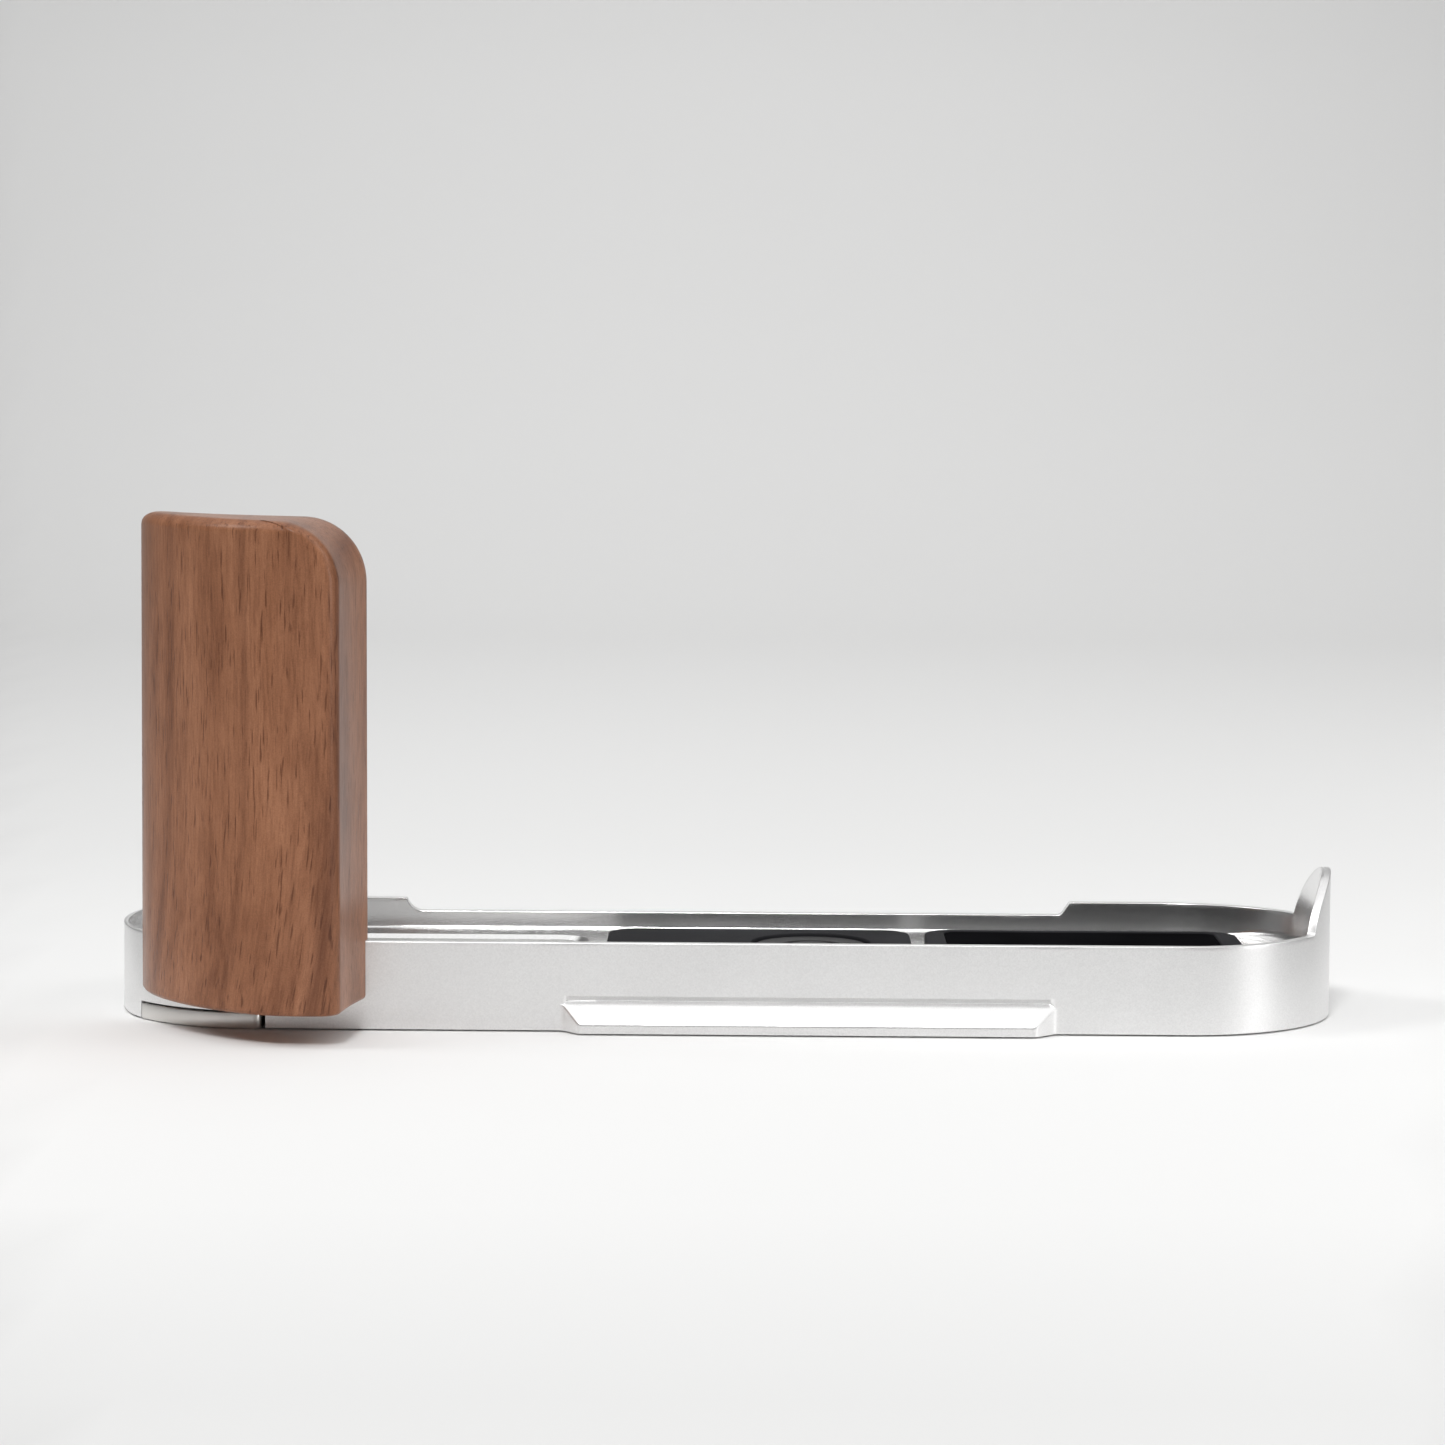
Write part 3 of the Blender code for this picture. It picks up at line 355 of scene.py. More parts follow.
def multiply(tree, colour, mask, factor):
    """Darken a colour by a mask."""
    node = tree.nodes.new("ShaderNodeMix")
    node.data_type = "RGBA"
    node.blend_type = "MULTIPLY"
    node.inputs["Factor"].default_value = factor
    tree.links.new(colour, node.inputs["A"])
    tree.links.new(mask, node.inputs["B"])
    return node.outputs["Result"]


def math_node(tree, operation, *values):
    """One step of arithmetic on numbers and sockets."""
    node = tree.nodes.new("ShaderNodeMath")
    node.operation = operation
    for socket, value in zip(node.inputs, values):
        if isinstance(value, float):
            socket.default_value = value
        else:
            tree.links.new(value, socket)
    return node.outputs["Value"]


print("material steps ready")

# %% [markdown]
# ### Metal, rubber and nylon
#
# Bead blasting leaves grains much smaller than a pixel of the picture. A strong bump could show
# them, but it would flicker, so they change the colour and the roughness, and the bump is slight.
# The plate's outer face is coarser than the tray, which blurs the floor in front of it. The other
# finishes have one colour each and differ in roughness, gloss and grain.

# %% Metal, rubber and nylon
MOTTLE = 90.0
GRAIN_DEPTH = 0.0001
GRIT = 6500.0
OUTER_FACE_FROM = (INNER_R + 0.3) * MM
OUTER_FACE_EXTRA = 0.16


def plain_finish(name, dark, light, roughness, metallic, grain, relief, gloss=0.5):
    """A finish with a slight mottle and a fine grain."""
    material, tree, shader, where = new_material(name)
    colour = ramp(tree, noise(tree, where, MOTTLE, 3.0), [(0.3, dark), (0.7, light)])
    tree.links.new(colour, shader.inputs["Base Color"])
    fine = noise(tree, where, grain, 2.0)
    rough = remap(tree, fine, roughness - 0.04, roughness + 0.04)
    tree.links.new(rough, shader.inputs["Roughness"])
    shader.inputs["Metallic"].default_value = metallic
    shader.inputs["Specular IOR Level"].default_value = gloss
    bump(tree, shader, fine, relief, GRAIN_DEPTH)
    return material


def blasted_finish():
    """Bead-blasted aluminium, coarser on the plate's outer face than inside the tray."""
    material, tree, shader, where = new_material("bead_blasted_aluminium")
    stops = [(0.3, (0.93, 0.927, 0.925)), (0.7, (0.97, 0.967, 0.965))]
    colour = ramp(tree, noise(tree, where, MOTTLE, 3.0), stops)
    grit = noise(tree, where, GRIT, 2.0)
    grey = ramp(tree, grit, [(0.3, (0.88, 0.88, 0.88)), (0.7, (1.0, 1.0, 1.0))])
    tree.links.new(multiply(tree, colour, grey, 0.7), shader.inputs["Base Color"])
    split = tree.nodes.new("ShaderNodeSeparateXYZ")
    tree.links.new(where, split.inputs["Vector"])
    along = math_node(tree, "ABSOLUTE", split.outputs["X"])
    past = math_node(tree, "SUBTRACT", along, END_X * MM)
    past = math_node(tree, "MAXIMUM", past, 0.0)
    side = math_node(tree, "MULTIPLY", split.outputs["Y"], split.outputs["Y"])
    reach = math_node(tree, "SQRT", math_node(tree, "MULTIPLY_ADD", past, past, side))
    outside = math_node(tree, "GREATER_THAN", reach, OUTER_FACE_FROM)
    inner = remap(tree, grit, 0.18, 0.26)
    rough = math_node(tree, "MULTIPLY_ADD", outside, OUTER_FACE_EXTRA, inner)
    tree.links.new(rough, shader.inputs["Roughness"])
    shader.inputs["Metallic"].default_value = 1.0
    bump(tree, shader, grit, 0.10, GRAIN_DEPTH)
    return material


aluminium = blasted_finish()
bracket_metal = plain_finish(
    "bracket_aluminium", (0.66, 0.66, 0.66), (0.70, 0.70, 0.70), 0.42, 1.0, 5000.0, 0.10
)
steel = plain_finish(
    "polished_steel", (0.70, 0.685, 0.66), (0.78, 0.765, 0.74), 0.32, 1.0, 3000.0, 0.03
)
black_steel = plain_finish(
    "black_oxide_steel", (0.020, 0.020, 0.021), (0.032, 0.032, 0.033), 0.42, 1.0, 3000.0, 0.05
)
brass = plain_finish("brass", (0.70, 0.50, 0.24), (0.78, 0.58, 0.30), 0.30, 1.0, 2500.0, 0.04)
nickel = plain_finish("nickel", (0.60, 0.59, 0.57), (0.66, 0.65, 0.63), 0.20, 1.0, 2500.0, 0.03)
rubber = plain_finish(
    "pad_rubber", (0.016, 0.016, 0.018), (0.026, 0.026, 0.029), 0.75, 0.0, 4000.0, 0.25, 0.10
)
foam = plain_finish(
    "insert_foam", (0.004, 0.004, 0.0045), (0.007, 0.007, 0.008), 0.95, 0.0, 2500.0, 0.40, 0.0
)
nylon = plain_finish(
    "black_nylon", (0.008, 0.008, 0.009), (0.014, 0.014, 0.015), 0.50, 0.0, 3000.0, 0.10
)
print("materials so far, with the frame's own:", len(bpy.data.materials))

# %% [markdown]
# ### Walnut
#
# Walnut has a broad figure, finer growth lines, fibres and short dark pores. A picture of wood
# could be wrapped round the grip, but it would stretch at the rounded corners. Noise that is drawn
# out along Z goes through the whole block as fibres do, and leans over near the grip's foot. Each
# layer darkens those before it. Three dark bands are set at their places along X: two are streaks
# in the wood, and the last, on the grip's rounded ridge, is partly a streak and partly painted
# shade.

# %% Walnut
LEAN_BELOW = 0.027
LEAN = 4.0
WANDER = 0.003
# The last band lies on the grip's rounded ridge: partly a streak in the wood, partly painted shade.
STREAKS_AND_RIDGE_SHADE = ((-0.0578, 0.0007, 0.5), (-0.0498, 0.0006, 0.5), (-0.0398, 0.0013, 0.8))
STREAK_AND_SHADE_TONE = (0.52, 0.46, 0.45)
WHITE = (1.0, 1.0, 1.0)
FIGURE_TONES = [
    (0.30, (0.232, 0.092, 0.046)),
    (0.44, (0.335, 0.144, 0.075)),
    (0.58, (0.400, 0.179, 0.096)),
    (0.75, (0.462, 0.216, 0.120)),
]
GROWTH_TONES = [(0.33, (0.60, 0.54, 0.52)), (0.52, WHITE)]
FIBRE_TONES = [(0.32, (0.55, 0.50, 0.48)), (0.58, WHITE)]
SPECKLE_TONES = [(0.35, (0.80, 0.79, 0.78)), (0.65, WHITE)]
PORE_TONES = [(0.29, (0.40, 0.33, 0.31)), (0.38, WHITE)]


def bent_grain(tree, where):
    """Coordinates whose fibres lean over towards the foot of the grip."""
    split = tree.nodes.new("ShaderNodeSeparateXYZ")
    tree.links.new(where, split.inputs["Vector"])
    below = math_node(tree, "SUBTRACT", LEAN_BELOW, split.outputs["Z"])
    below = math_node(tree, "MAXIMUM", below, 0.0)
    square = math_node(tree, "MULTIPLY", below, below)
    joined = tree.nodes.new("ShaderNodeCombineXYZ")
    across = math_node(tree, "MULTIPLY_ADD", square, LEAN, split.outputs["X"])
    tree.links.new(across, joined.inputs["X"])
    tree.links.new(split.outputs["Y"], joined.inputs["Y"])
    tree.links.new(split.outputs["Z"], joined.inputs["Z"])
    return joined.outputs["Vector"], across


def streak_and_shade(tree, where, across, colour, middle, width, depth):
    """A dark band that wanders along the fibres round a middle along X, in metres; on the ridge it
    is partly painted shade.
    """
    wander = noise(tree, stretch(tree, where, (1.0, 1.0, 0.25)), 60.0, 2.0)
    shifted = math_node(tree, "MULTIPLY_ADD", wander, WANDER, across)
    away = math_node(tree, "ABSOLUTE", math_node(tree, "SUBTRACT", shifted, middle + WANDER / 2))
    share = math_node(tree, "DIVIDE", away, width)
    mask = ramp(tree, share, [(0.0, STREAK_AND_SHADE_TONE), (1.0, WHITE)])
    return multiply(tree, colour, mask, depth)


def walnut_finish():
    """Oiled walnut: broad figure and fibres along Z, short dark pores and a satin sheen."""
    material, tree, shader, where = new_material("oiled_walnut")
    along, across = bent_grain(tree, where)
    figure = noise(tree, stretch(tree, along, (1.0, 1.0, 0.22)), 130.0, 4.0, 0.6, 1.2)
    colour = ramp(tree, figure, FIGURE_TONES)
    growth = noise(tree, stretch(tree, along, (1.0, 1.0, 0.05)), 520.0, 3.0, 0.6, 0.4)
    colour = multiply(tree, colour, ramp(tree, growth, GROWTH_TONES), 0.40)
    # Two streaks in the wood, and a ridge band that is partly painted shade.
    for middle, width, depth in STREAKS_AND_RIDGE_SHADE:
        colour = streak_and_shade(tree, along, across, colour, middle, width, depth)
    fibre = noise(tree, stretch(tree, along, (1.0, 1.0, 0.08)), 3600.0, 3.0, 0.7)
    colour = multiply(tree, colour, ramp(tree, fibre, FIBRE_TONES), 0.55)
    speckle = noise(tree, where, 7500.0, 1.0)
    colour = multiply(tree, colour, ramp(tree, speckle, SPECKLE_TONES), 0.8)
    pores = noise(tree, stretch(tree, along, (1.0, 1.0, 0.075)), 3900.0, 1.0, 0.5)
    pore_mask = ramp(tree, pores, PORE_TONES)
    colour = multiply(tree, colour, pore_mask, 0.75)
    tree.links.new(colour, shader.inputs["Base Color"])
    tree.links.new(remap(tree, fibre, 0.36, 0.24), shader.inputs["Roughness"])
    shader.inputs["Specular IOR Level"].default_value = 0.24
    bump(tree, shader, pore_mask, 0.35, 0.00006)
    return material


walnut = walnut_finish()
print("walnut:", len(walnut.node_tree.nodes), "nodes")

# %% [markdown]
# ## Base plate
#
# The plate is milled from one block: a floor with a low rim that rises in an arch at the end tab
# and drops into a notch at the rear. The arch and the notch could be cut out of a taller wall, but
# then the rounded edge of the rim would be lost there. So the rim comes first, as a line in
# distance and height, and the wall is built up to it.

# %% Rim line
TAB_TOP = 15.9
TAB_R = 9.5
TAB_FOOT_R = 0.6
TAB_TURN = math.radians(-2.6)
NOTCH_Z = 8.05
NOTCH_LEFT = -36.15
NOTCH_LEFT_R = 2.0
NOTCH_RIGHT = 39.0
NOTCH_RIGHT_FOOT = 38.0


def clamp(value):
    """Keep a value between 0 and 1."""
    return min(max(value, 0.0), 1.0)


def smooth(share):
    """Ease a 0 to 1 share in and out."""
    return share**2 * (3 - 2 * share)


def corner_arc(before, corner, after, radius, steps):
    """A rounded corner between two straight runs."""
    before, corner, after = Vector(before), Vector(corner), Vector(after)
    back, ahead = (before - corner).normalized(), (after - corner).normalized()
    half = back.angle(ahead) / 2
    middle = corner + (back + ahead).normalized() * (radius / math.sin(half))
    start = corner + back * (radius / math.tan(half)) - middle
    end = corner + ahead * (radius / math.tan(half)) - middle
    turn = start.angle_signed(end)
    return [middle + Matrix.Rotation(-turn * step / steps, 2) @ start for step in range(steps + 1)]


def fillet_line(points, radii, steps=8):
    """A polyline whose inner corners are rounded, each with its own radius."""
    line = [points[0]]
    for before, corner, after, radius in zip(points, points[1:], points[2:], radii):
        line += [tuple(spot) for spot in corner_arc(before, corner, after, radius, steps)]
    return line + [points[-1]]


def tab_line(centre):
    """The arch of the end tab with its small foot fillets, as distance and height."""
    middle = TAB_TOP - TAB_R
    foot_z = RIM_Z + TAB_FOOT_R
    reach = TAB_R + TAB_FOOT_R
    foot_x = math.sqrt(reach**2 - (foot_z - middle) ** 2)
    meet = math.atan2(foot_z - middle, foot_x)
    right = []
    for step in range(9):
        turn = -math.pi / 2 - (math.pi / 2 - meet) * step / 8
        right.append((foot_x + TAB_FOOT_R * math.cos(turn), foot_z + TAB_FOOT_R * math.sin(turn)))
    arch = []
    for step in range(1, 48):
        turn = meet + (math.pi - 2 * meet) * step / 48
        arch.append((TAB_R * math.cos(turn), middle + TAB_R * math.sin(turn)))
    whole = right + arch + [(-x, z) for x, z in reversed(right)]
    return [(centre + x, z) for x, z in reversed(whole)]


def rear(x):
    """Distance along the outer face of a place on the rear side."""
    return STRAIGHT + HALF_TURN + END_X - x


tab_middle = STRAIGHT + END_R * (math.pi / 2 + TAB_TURN)
right_part = fillet_line(
    [
        (rear(NOTCH_RIGHT + 2), RIM_Z),
        (rear(NOTCH_RIGHT), RIM_Z),
        (rear(NOTCH_RIGHT_FOOT), NOTCH_Z),
        (rear(NOTCH_RIGHT_FOOT - 3), NOTCH_Z),
    ],
    (0.3, 0.9),
)
left_turn = math.acos(1 - (RIM_Z - NOTCH_Z) / NOTCH_LEFT_R)
left_middle = rear(NOTCH_LEFT + NOTCH_LEFT_R * math.sin(left_turn))
left_part = [(left_middle - 0.5, NOTCH_Z)]
for turn in np.linspace(0, left_turn, 14)[:-1]:
    rise = NOTCH_LEFT_R * (1 - math.cos(turn))
    left_part.append((left_middle + NOTCH_LEFT_R * math.sin(turn), NOTCH_Z + rise))
left_corner = [left_part[-1], (rear(NOTCH_LEFT), RIM_Z), (rear(NOTCH_LEFT - 2), RIM_Z)]
left_part += fillet_line(left_corner, (0.12,), 4)[1:]
tab = tab_line(tab_middle)
print("rim line:", len(tab), "points in the tab,", len(left_part) + len(right_part), "in the notch")

# %% [markdown]
# ### Stations round the plate
#
# A station is one upright section of the wall. A curve with a bevel would have the same section
# everywhere, but this one changes at the lips, the tab and the notch. So stations stand close
# together there and wide apart between them.

# %% Stations
TAB_FLARE = 0.020
RIM_RISE = 0.14
RISE_RUN = 15.0
LIP_LEFT = -17.2
LIP_LEFT_RUN = 2.4
LIP_RIGHT = 35.4
LIP_RIGHT_RUN = 2.8
LIP_BEND = 0.26
LIP_LEFT_SPAN = (-18.4, -13.2)
LIP_RIGHT_SPAN = (32.4, 36.9)
LIP_STEP = 0.16
SIDE_STEP = 1.6
END_STEP = 0.7


def raised(along, z):
    """The rim's height with its slight rise towards the tab."""
    share = (abs(along - tab_middle) - abs(tab[0][0] - tab_middle)) / RISE_RUN
    below_top = min(1.0, (TAB_TOP - z) / (TAB_TOP - RIM_Z))
    return z + RIM_RISE * smooth(clamp(1 - share)) * below_top


def flared(along, z):
    """Where the outer edge of the tab stands, a little wider than its inner edge."""
    share = clamp((z - RIM_Z - 0.3) / 2)
    return along + (along - tab_middle) * TAB_FLARE * share


def spaced(start, end, gap):
    """Evenly spaced distances between two places, without the ends."""
    count = max(1, math.ceil((end - start) / gap))
    return [start + (end - start) * step / count for step in range(1, count)]


def lip_share(x):
    """How far out the lip stands at a place along X: a straight ramp with rounded ends."""
    share = clamp(min((x - LIP_LEFT) / LIP_LEFT_RUN, (LIP_RIGHT - x) / LIP_RIGHT_RUN))
    slope = 1 / (1 - LIP_BEND)
    if share < LIP_BEND:
        return slope * share**2 / (2 * LIP_BEND)
    if share > 1 - LIP_BEND:
        return 1 - slope * (1 - share) ** 2 / (2 * LIP_BEND)
    return slope * (share - LIP_BEND / 2)


def plain(places, height=RIM_Z):
    """Stations whose wall and rim stand at the same distance."""
    return [(s, s, height) for s in places]


def cluster(line, start, end):
    """Stations of a shaped stretch, whose wall distances are spread evenly along the line."""
    lengths = [0.0]
    for (x0, z0), (x1, z1) in zip(line, line[1:]):
        lengths.append(lengths[-1] + math.hypot(x1 - x0, z1 - z0))
    return [(start + (end - start) * run / lengths[-1], s, z) for run, (s, z) in zip(lengths, line)]


# Stations carry the wall's distance, the rim's distance and the rim's height.
left_marks = list(np.arange(*LIP_LEFT_SPAN, LIP_STEP))
right_marks = list(np.arange(*LIP_RIGHT_SPAN, LIP_STEP))
notch_start = right_part[-1][0] + 0.1
stations = plain(spaced(-0.01, END_X + LIP_LEFT_SPAN[0], SIDE_STEP))
stations += plain(x + END_X for x in left_marks)
stations += plain(spaced(END_X + LIP_LEFT_SPAN[1], END_X + LIP_RIGHT_SPAN[0], SIDE_STEP))
stations += plain(x + END_X for x in right_marks)
stations += plain(spaced(END_X + LIP_RIGHT_SPAN[1], STRAIGHT, SIDE_STEP))
stations += plain([STRAIGHT] + spaced(STRAIGHT, tab[0][0] - 0.4, END_STEP))
stations += cluster(tab, tab[0][0], tab[-1][0])
stations += plain(spaced(tab[-1][0] + 0.4, STRAIGHT + HALF_TURN, END_STEP))
stations += plain(spaced(STRAIGHT + HALF_TURN, right_part[0][0], SIDE_STEP))
stations += cluster(right_part, right_part[0][0], right_part[-1][0])
stations += plain((rear(x) for x in reversed(right_marks) if rear(x) > notch_start), NOTCH_Z)
stations += plain(spaced(rear(LIP_RIGHT_SPAN[0]), rear(LIP_LEFT_SPAN[1]), SIDE_STEP), NOTCH_Z)
stations += plain((rear(x) for x in reversed(left_marks)), NOTCH_Z)
stations += plain(spaced(rear(LIP_LEFT_SPAN[0]), left_part[0][0], SIDE_STEP), NOTCH_Z)
stations += cluster(left_part, left_part[0][0], left_part[-1][0])
stations += plain(spaced(left_part[-1][0], rear(-END_X), SIDE_STEP))
stations += plain(spaced(rear(-END_X) - 0.01, AROUND, END_STEP))
print("stations round the plate:", len(stations))

# %% [markdown]
# ### The wall's section
#
# Outside, the section has a small foot edge, the dovetail lip that a clamp holds, and the groove
# over it. Inside, it ends in a fillet, which is larger round the right end. A Bevel modifier
# would round every edge alike, so each radius is written into the section.

# %% Wall section
FOOT_R = 0.24
END_FOOT_R = 1.3
END_FOOT_GROWS = 6
END_FOOT_SHRINKS = 9
END_FOOT_STOP = STRAIGHT + 0.88 * HALF_TURN
FOOT_EDGE = 0.06
FOOT_GAP = 0.19
FOOT_GAP_IN = 1.2
LIP_OUT = 2.0
LIP_EDGE_Z = 1.20
LIP_SLOPE = 0.89
LIP_ROUND = 0.25
LIP_ROUND_FROM = 0.5
GROOVE_TOP = 3.85
GROOVE_IN = 0.40
GROOVE_LEFT = -16.7
GROOVE_RIGHT = 34.9
GROOVE_RUN = 0.4
END_WALL = 0.5
END_WALL_STOP = 0.78
END_WALL_RUN = 0.15


def outer_profile(out, groove):
    """Inward offsets and heights of the outer face, from the underside to above the groove."""
    edge_z = LIP_EDGE_Z + LIP_SLOPE * (LIP_OUT - out)
    flank_end = LIP_EDGE_Z + LIP_SLOPE * (LIP_OUT + groove)
    soft = min(out, LIP_ROUND_FROM) / LIP_ROUND_FROM
    turns = np.linspace(0, math.pi / 2, 5)
    profile = [(FOOT_GAP_IN - out, 0.0), (FOOT_GAP_IN - out, FOOT_GAP)]
    profile += [
        (FOOT_EDGE * (1 - math.sin(turn)) - out, FOOT_GAP + FOOT_EDGE * (1 - math.cos(turn)))
        for turn in turns
    ]
    return profile + [
        (-out, FOOT_EDGE + 0.20),
        (-out, edge_z - LIP_ROUND),
        (-out, edge_z - 0.10),
        (0.03 * soft - out, edge_z - 0.01),
        (0.09 * soft - out, edge_z + 0.09 * soft),
        (LIP_ROUND * soft - out, edge_z + LIP_ROUND * soft),
        (0.0, edge_z + LIP_SLOPE * (out + groove * (1 - soft))),
        (groove, flank_end),
        (groove * 0.95, flank_end + 0.05),
        (0.0, GROOVE_TOP),
        (0.0, GROOVE_TOP + 0.15),
    ]


def foot_at(along):
    """The radius of the fillet at the wall's foot, which is larger round the right end."""
    grown = min((along - STRAIGHT) / END_FOOT_GROWS, (END_FOOT_STOP - along) / END_FOOT_SHRINKS)
    return FOOT_R + (END_FOOT_R - FOOT_R) * smooth(clamp(grown))


def inner_foot(wall, foot):
    """Inward offsets and heights of the fillet where a wall meets the floor."""
    return [
        (wall + foot * (1 - math.cos(turn)), FLOOR_Z + foot * (1 - math.sin(turn)))
        for turn in np.linspace(0, math.pi / 2, 9)
    ]


def wall_at(along):
    """The wall's thickness, which is less round the grip's end."""
    turn = (along - 2 * STRAIGHT - HALF_TURN) / HALF_TURN
    share = clamp(min(turn, END_WALL_STOP - turn) / END_WALL_RUN)
    return WALL + (END_WALL - WALL) * smooth(share)


print("section outside:", len(outer_profile(LIP_OUT, GROOVE_IN)), "points")

# %% [markdown]
# ### The band and its two floors
#
# The sections are joined into one band, and the floor's top and the underside are filled between
# it and the holes: the battery opening, the stepped bore of the camera screw and the seat of the
# tripod bush. Booleans could cut the holes, but a fill keeps the floor flat and its edges clean.

# %% Base plate
EDGE = 0.1
SUPPORT = 0.35
OPENING = (-55.0, -15.5, -7.5, 10.4, 3.4)
OPENING_LEVELS = ((-0.15, 0), (0, 0.15), (0, FLOOR_Z - 0.45), (-0.45, FLOOR_Z))
BORE_LEVELS = (
    (7.35, 0), (7.2, 0.15), (7.2, 5.0), (SCREW_BORE_R, 5.0), (SCREW_BORE_R, 6.07), (3.375, FLOOR_Z),
)
BUSH_LEVELS = ((4.45, 0), (4.3, 0.15), (4.3, 5.1))


def build_plate():
    """The band, the floors and the walls of the holes as one closed mesh."""
    count = len(stations)
    normals = []
    for index in range(count):
        before, after = stations[index - 1], stations[(index + 1) % count]
        ds = (after[1] - before[1]) % AROUND
        dz = after[2] - before[2]
        length = math.hypot(ds, dz)
        normals.append((-dz / length, ds / length))
    turns = np.linspace(0, math.pi / 2, 5)
    rounding = [(EDGE * (1 - math.cos(turn)), EDGE * (1 - math.sin(turn))) for turn in turns]
    build = bmesh.new()
    columns = []
    for index, (low, top, height) in enumerate(stations):
        x, y = place(low, 0)
        wall = wall_at(low)
        out, groove = 0.0, 0.0
        if abs(y) > END_R - 0.001:
            out = LIP_OUT * lip_share(x)
            groove = GROOVE_IN * clamp(min(x - GROOVE_LEFT, GROOVE_RIGHT - x) / GROOVE_RUN)
        ns, nz = normals[index]
        foot = foot_at(low)
        base_z = FLOOR_Z + foot
        outer = flared(top, height)
        rim_z = raised(top, height)
        near = SUPPORT / (rim_z - base_z)
        column = [(*place(low, inward), z) for inward, z in outer_profile(out, groove)]
        column.append((*place(outer + (low - outer) * near, 0), rim_z - EDGE * nz - SUPPORT))
        for inward, drop in rounding:
            column.append((*place(outer - drop * ns, inward), rim_z - drop * nz))
        for inward, drop in reversed(rounding):
            column.append((*place(top - drop * ns, wall - inward), rim_z - drop * nz))
        column.append((*place(top + (low - top) * near, wall), rim_z - EDGE * nz - SUPPORT))
        column.append((*place(low, wall), base_z + 0.15))
        column += [(*place(low, inward), z) for inward, z in inner_foot(wall, foot)]
        columns.append(add_ring(build, column))
    for index in range(count):
        this, after = columns[index], columns[(index + 1) % count]
        for step in range(len(this) - 1):
            build.faces.new((this[step], after[step], after[step + 1], this[step + 1]))
    underside = [column[0] for column in columns]
    floor_top = [column[-1] for column in columns]

    opening = []
    for inset, z in OPENING_LEVELS:
        opening.append(add_ring(build, level(box_outline(*OPENING, inset), z)))
    bore = [add_ring(build, level(circle((SCREW_X, 0), radius), z)) for radius, z in BORE_LEVELS]
    bush = [add_ring(build, level(circle((BUSH_X, 0), radius), z)) for radius, z in BUSH_LEVELS]
    for rings in (opening, bore, bush):
        bridge(build, rings)
    build.faces.new(bush[-1])
    fill_flat(build, underside, opening[0], bore[0], bush[0])
    fill_flat(build, floor_top, opening[-1], bore[-1])
    return to_object("base_plate_fine", build)


plate = build_plate()
print("band and floors:", len(plate.data.polygons), "faces")

# %% [markdown]
# ### Cuts under the grip
#
# The pocket of the strap lug opens through the lower front corner, and the bracket passes through
# the front wall behind the wood. They could be written into the stations, but they cross the
# floor as well, so they are Boolean cuts in the closed band. The far left end is then drawn in a
# little, as it is in the photo.

# %% Plate cuts
def end_place(angle, radius):
    """A place round the centre of the grip's end."""
    turn = math.radians(angle)
    return -END_X + radius * math.cos(turn), radius * math.sin(turn)


def end_arc(radius, start, end, steps=24):
    """Points round the centre of the grip's end."""
    return [end_place(angle, radius) for angle in np.linspace(start, end, steps + 1)]


LUG_INNER = END_R - 5.2
LUG_START = 219.5
LUG_GAP = 0.12
LUG_TAIL_GAP = 0.22
LUG_TAIL_R = 1.0
PIVOT = end_place(261.5, END_R - 2.8)
LUG_TAIL_X = PIVOT[0] + 2.6
MAGNET = end_place(237.0, END_R - 2.6)
LUG_EYE = end_place(226.5, END_R - 2.6)
POCKET_TOP = 2.0
LUG_SWEEP_R = 3.69
PIVOT_HOLE_R = 1.06
PIVOT_HOLE_TOP = 4.7
MAGNET_HOLE_R = 1.35
MAGNET_HOLE_TOP = 3.3
BRACKET_TURN = 237.7
BRACKET_RIGHT = -40.55
GATE_LOW = 6.0
FOOT_HOLE_XS = (-54.2, -48.93, -43.65)
FOOT_HOLE_Y = -11.1
FOOT_HOLE_R = 1.05
BELOW = -1.0
END_TRIM = 0.5
END_TRIM_X = -62.5


def arc_to_x(radius, x):
    """The angle at which a circle round the end's centre reaches a place along X."""
    return 360 - math.degrees(math.acos((x + END_X) / radius))


def lug_plan(inset, outer_extra=0.0, tail_extra=0.0, fillet=LUG_TAIL_R):
    """The lug's plan, moved inwards by an inset."""
    outer, inner = END_R - inset + outer_extra, LUG_INNER + inset
    tail = LUG_TAIL_X - inset + tail_extra
    start = LUG_START + math.degrees(inset / END_R)
    arm = end_arc(outer, start, arc_to_x(outer, tail), 40)
    back = end_arc(inner, arc_to_x(inner, tail), start, 40)
    if fillet:
        middle = (tail - fillet, -outer + fillet + 0.02)
        arm = [point for point in arm if point[0] < middle[0]]
        turns = np.linspace(-math.pi / 2, 0, 17)
        arm += [(middle[0] + fillet * math.cos(t), middle[1] + fillet * math.sin(t)) for t in turns]
    return arm + back


def bracket_slot(inner, outer):
    """The plan between two radii that lets the bracket's upright through."""
    outline = end_arc(inner, BRACKET_TURN, 270, 24) + [(BRACKET_RIGHT, -inner)]
    return outline + [(BRACKET_RIGHT, -outer)] + end_arc(outer, 270, BRACKET_TURN, 24)


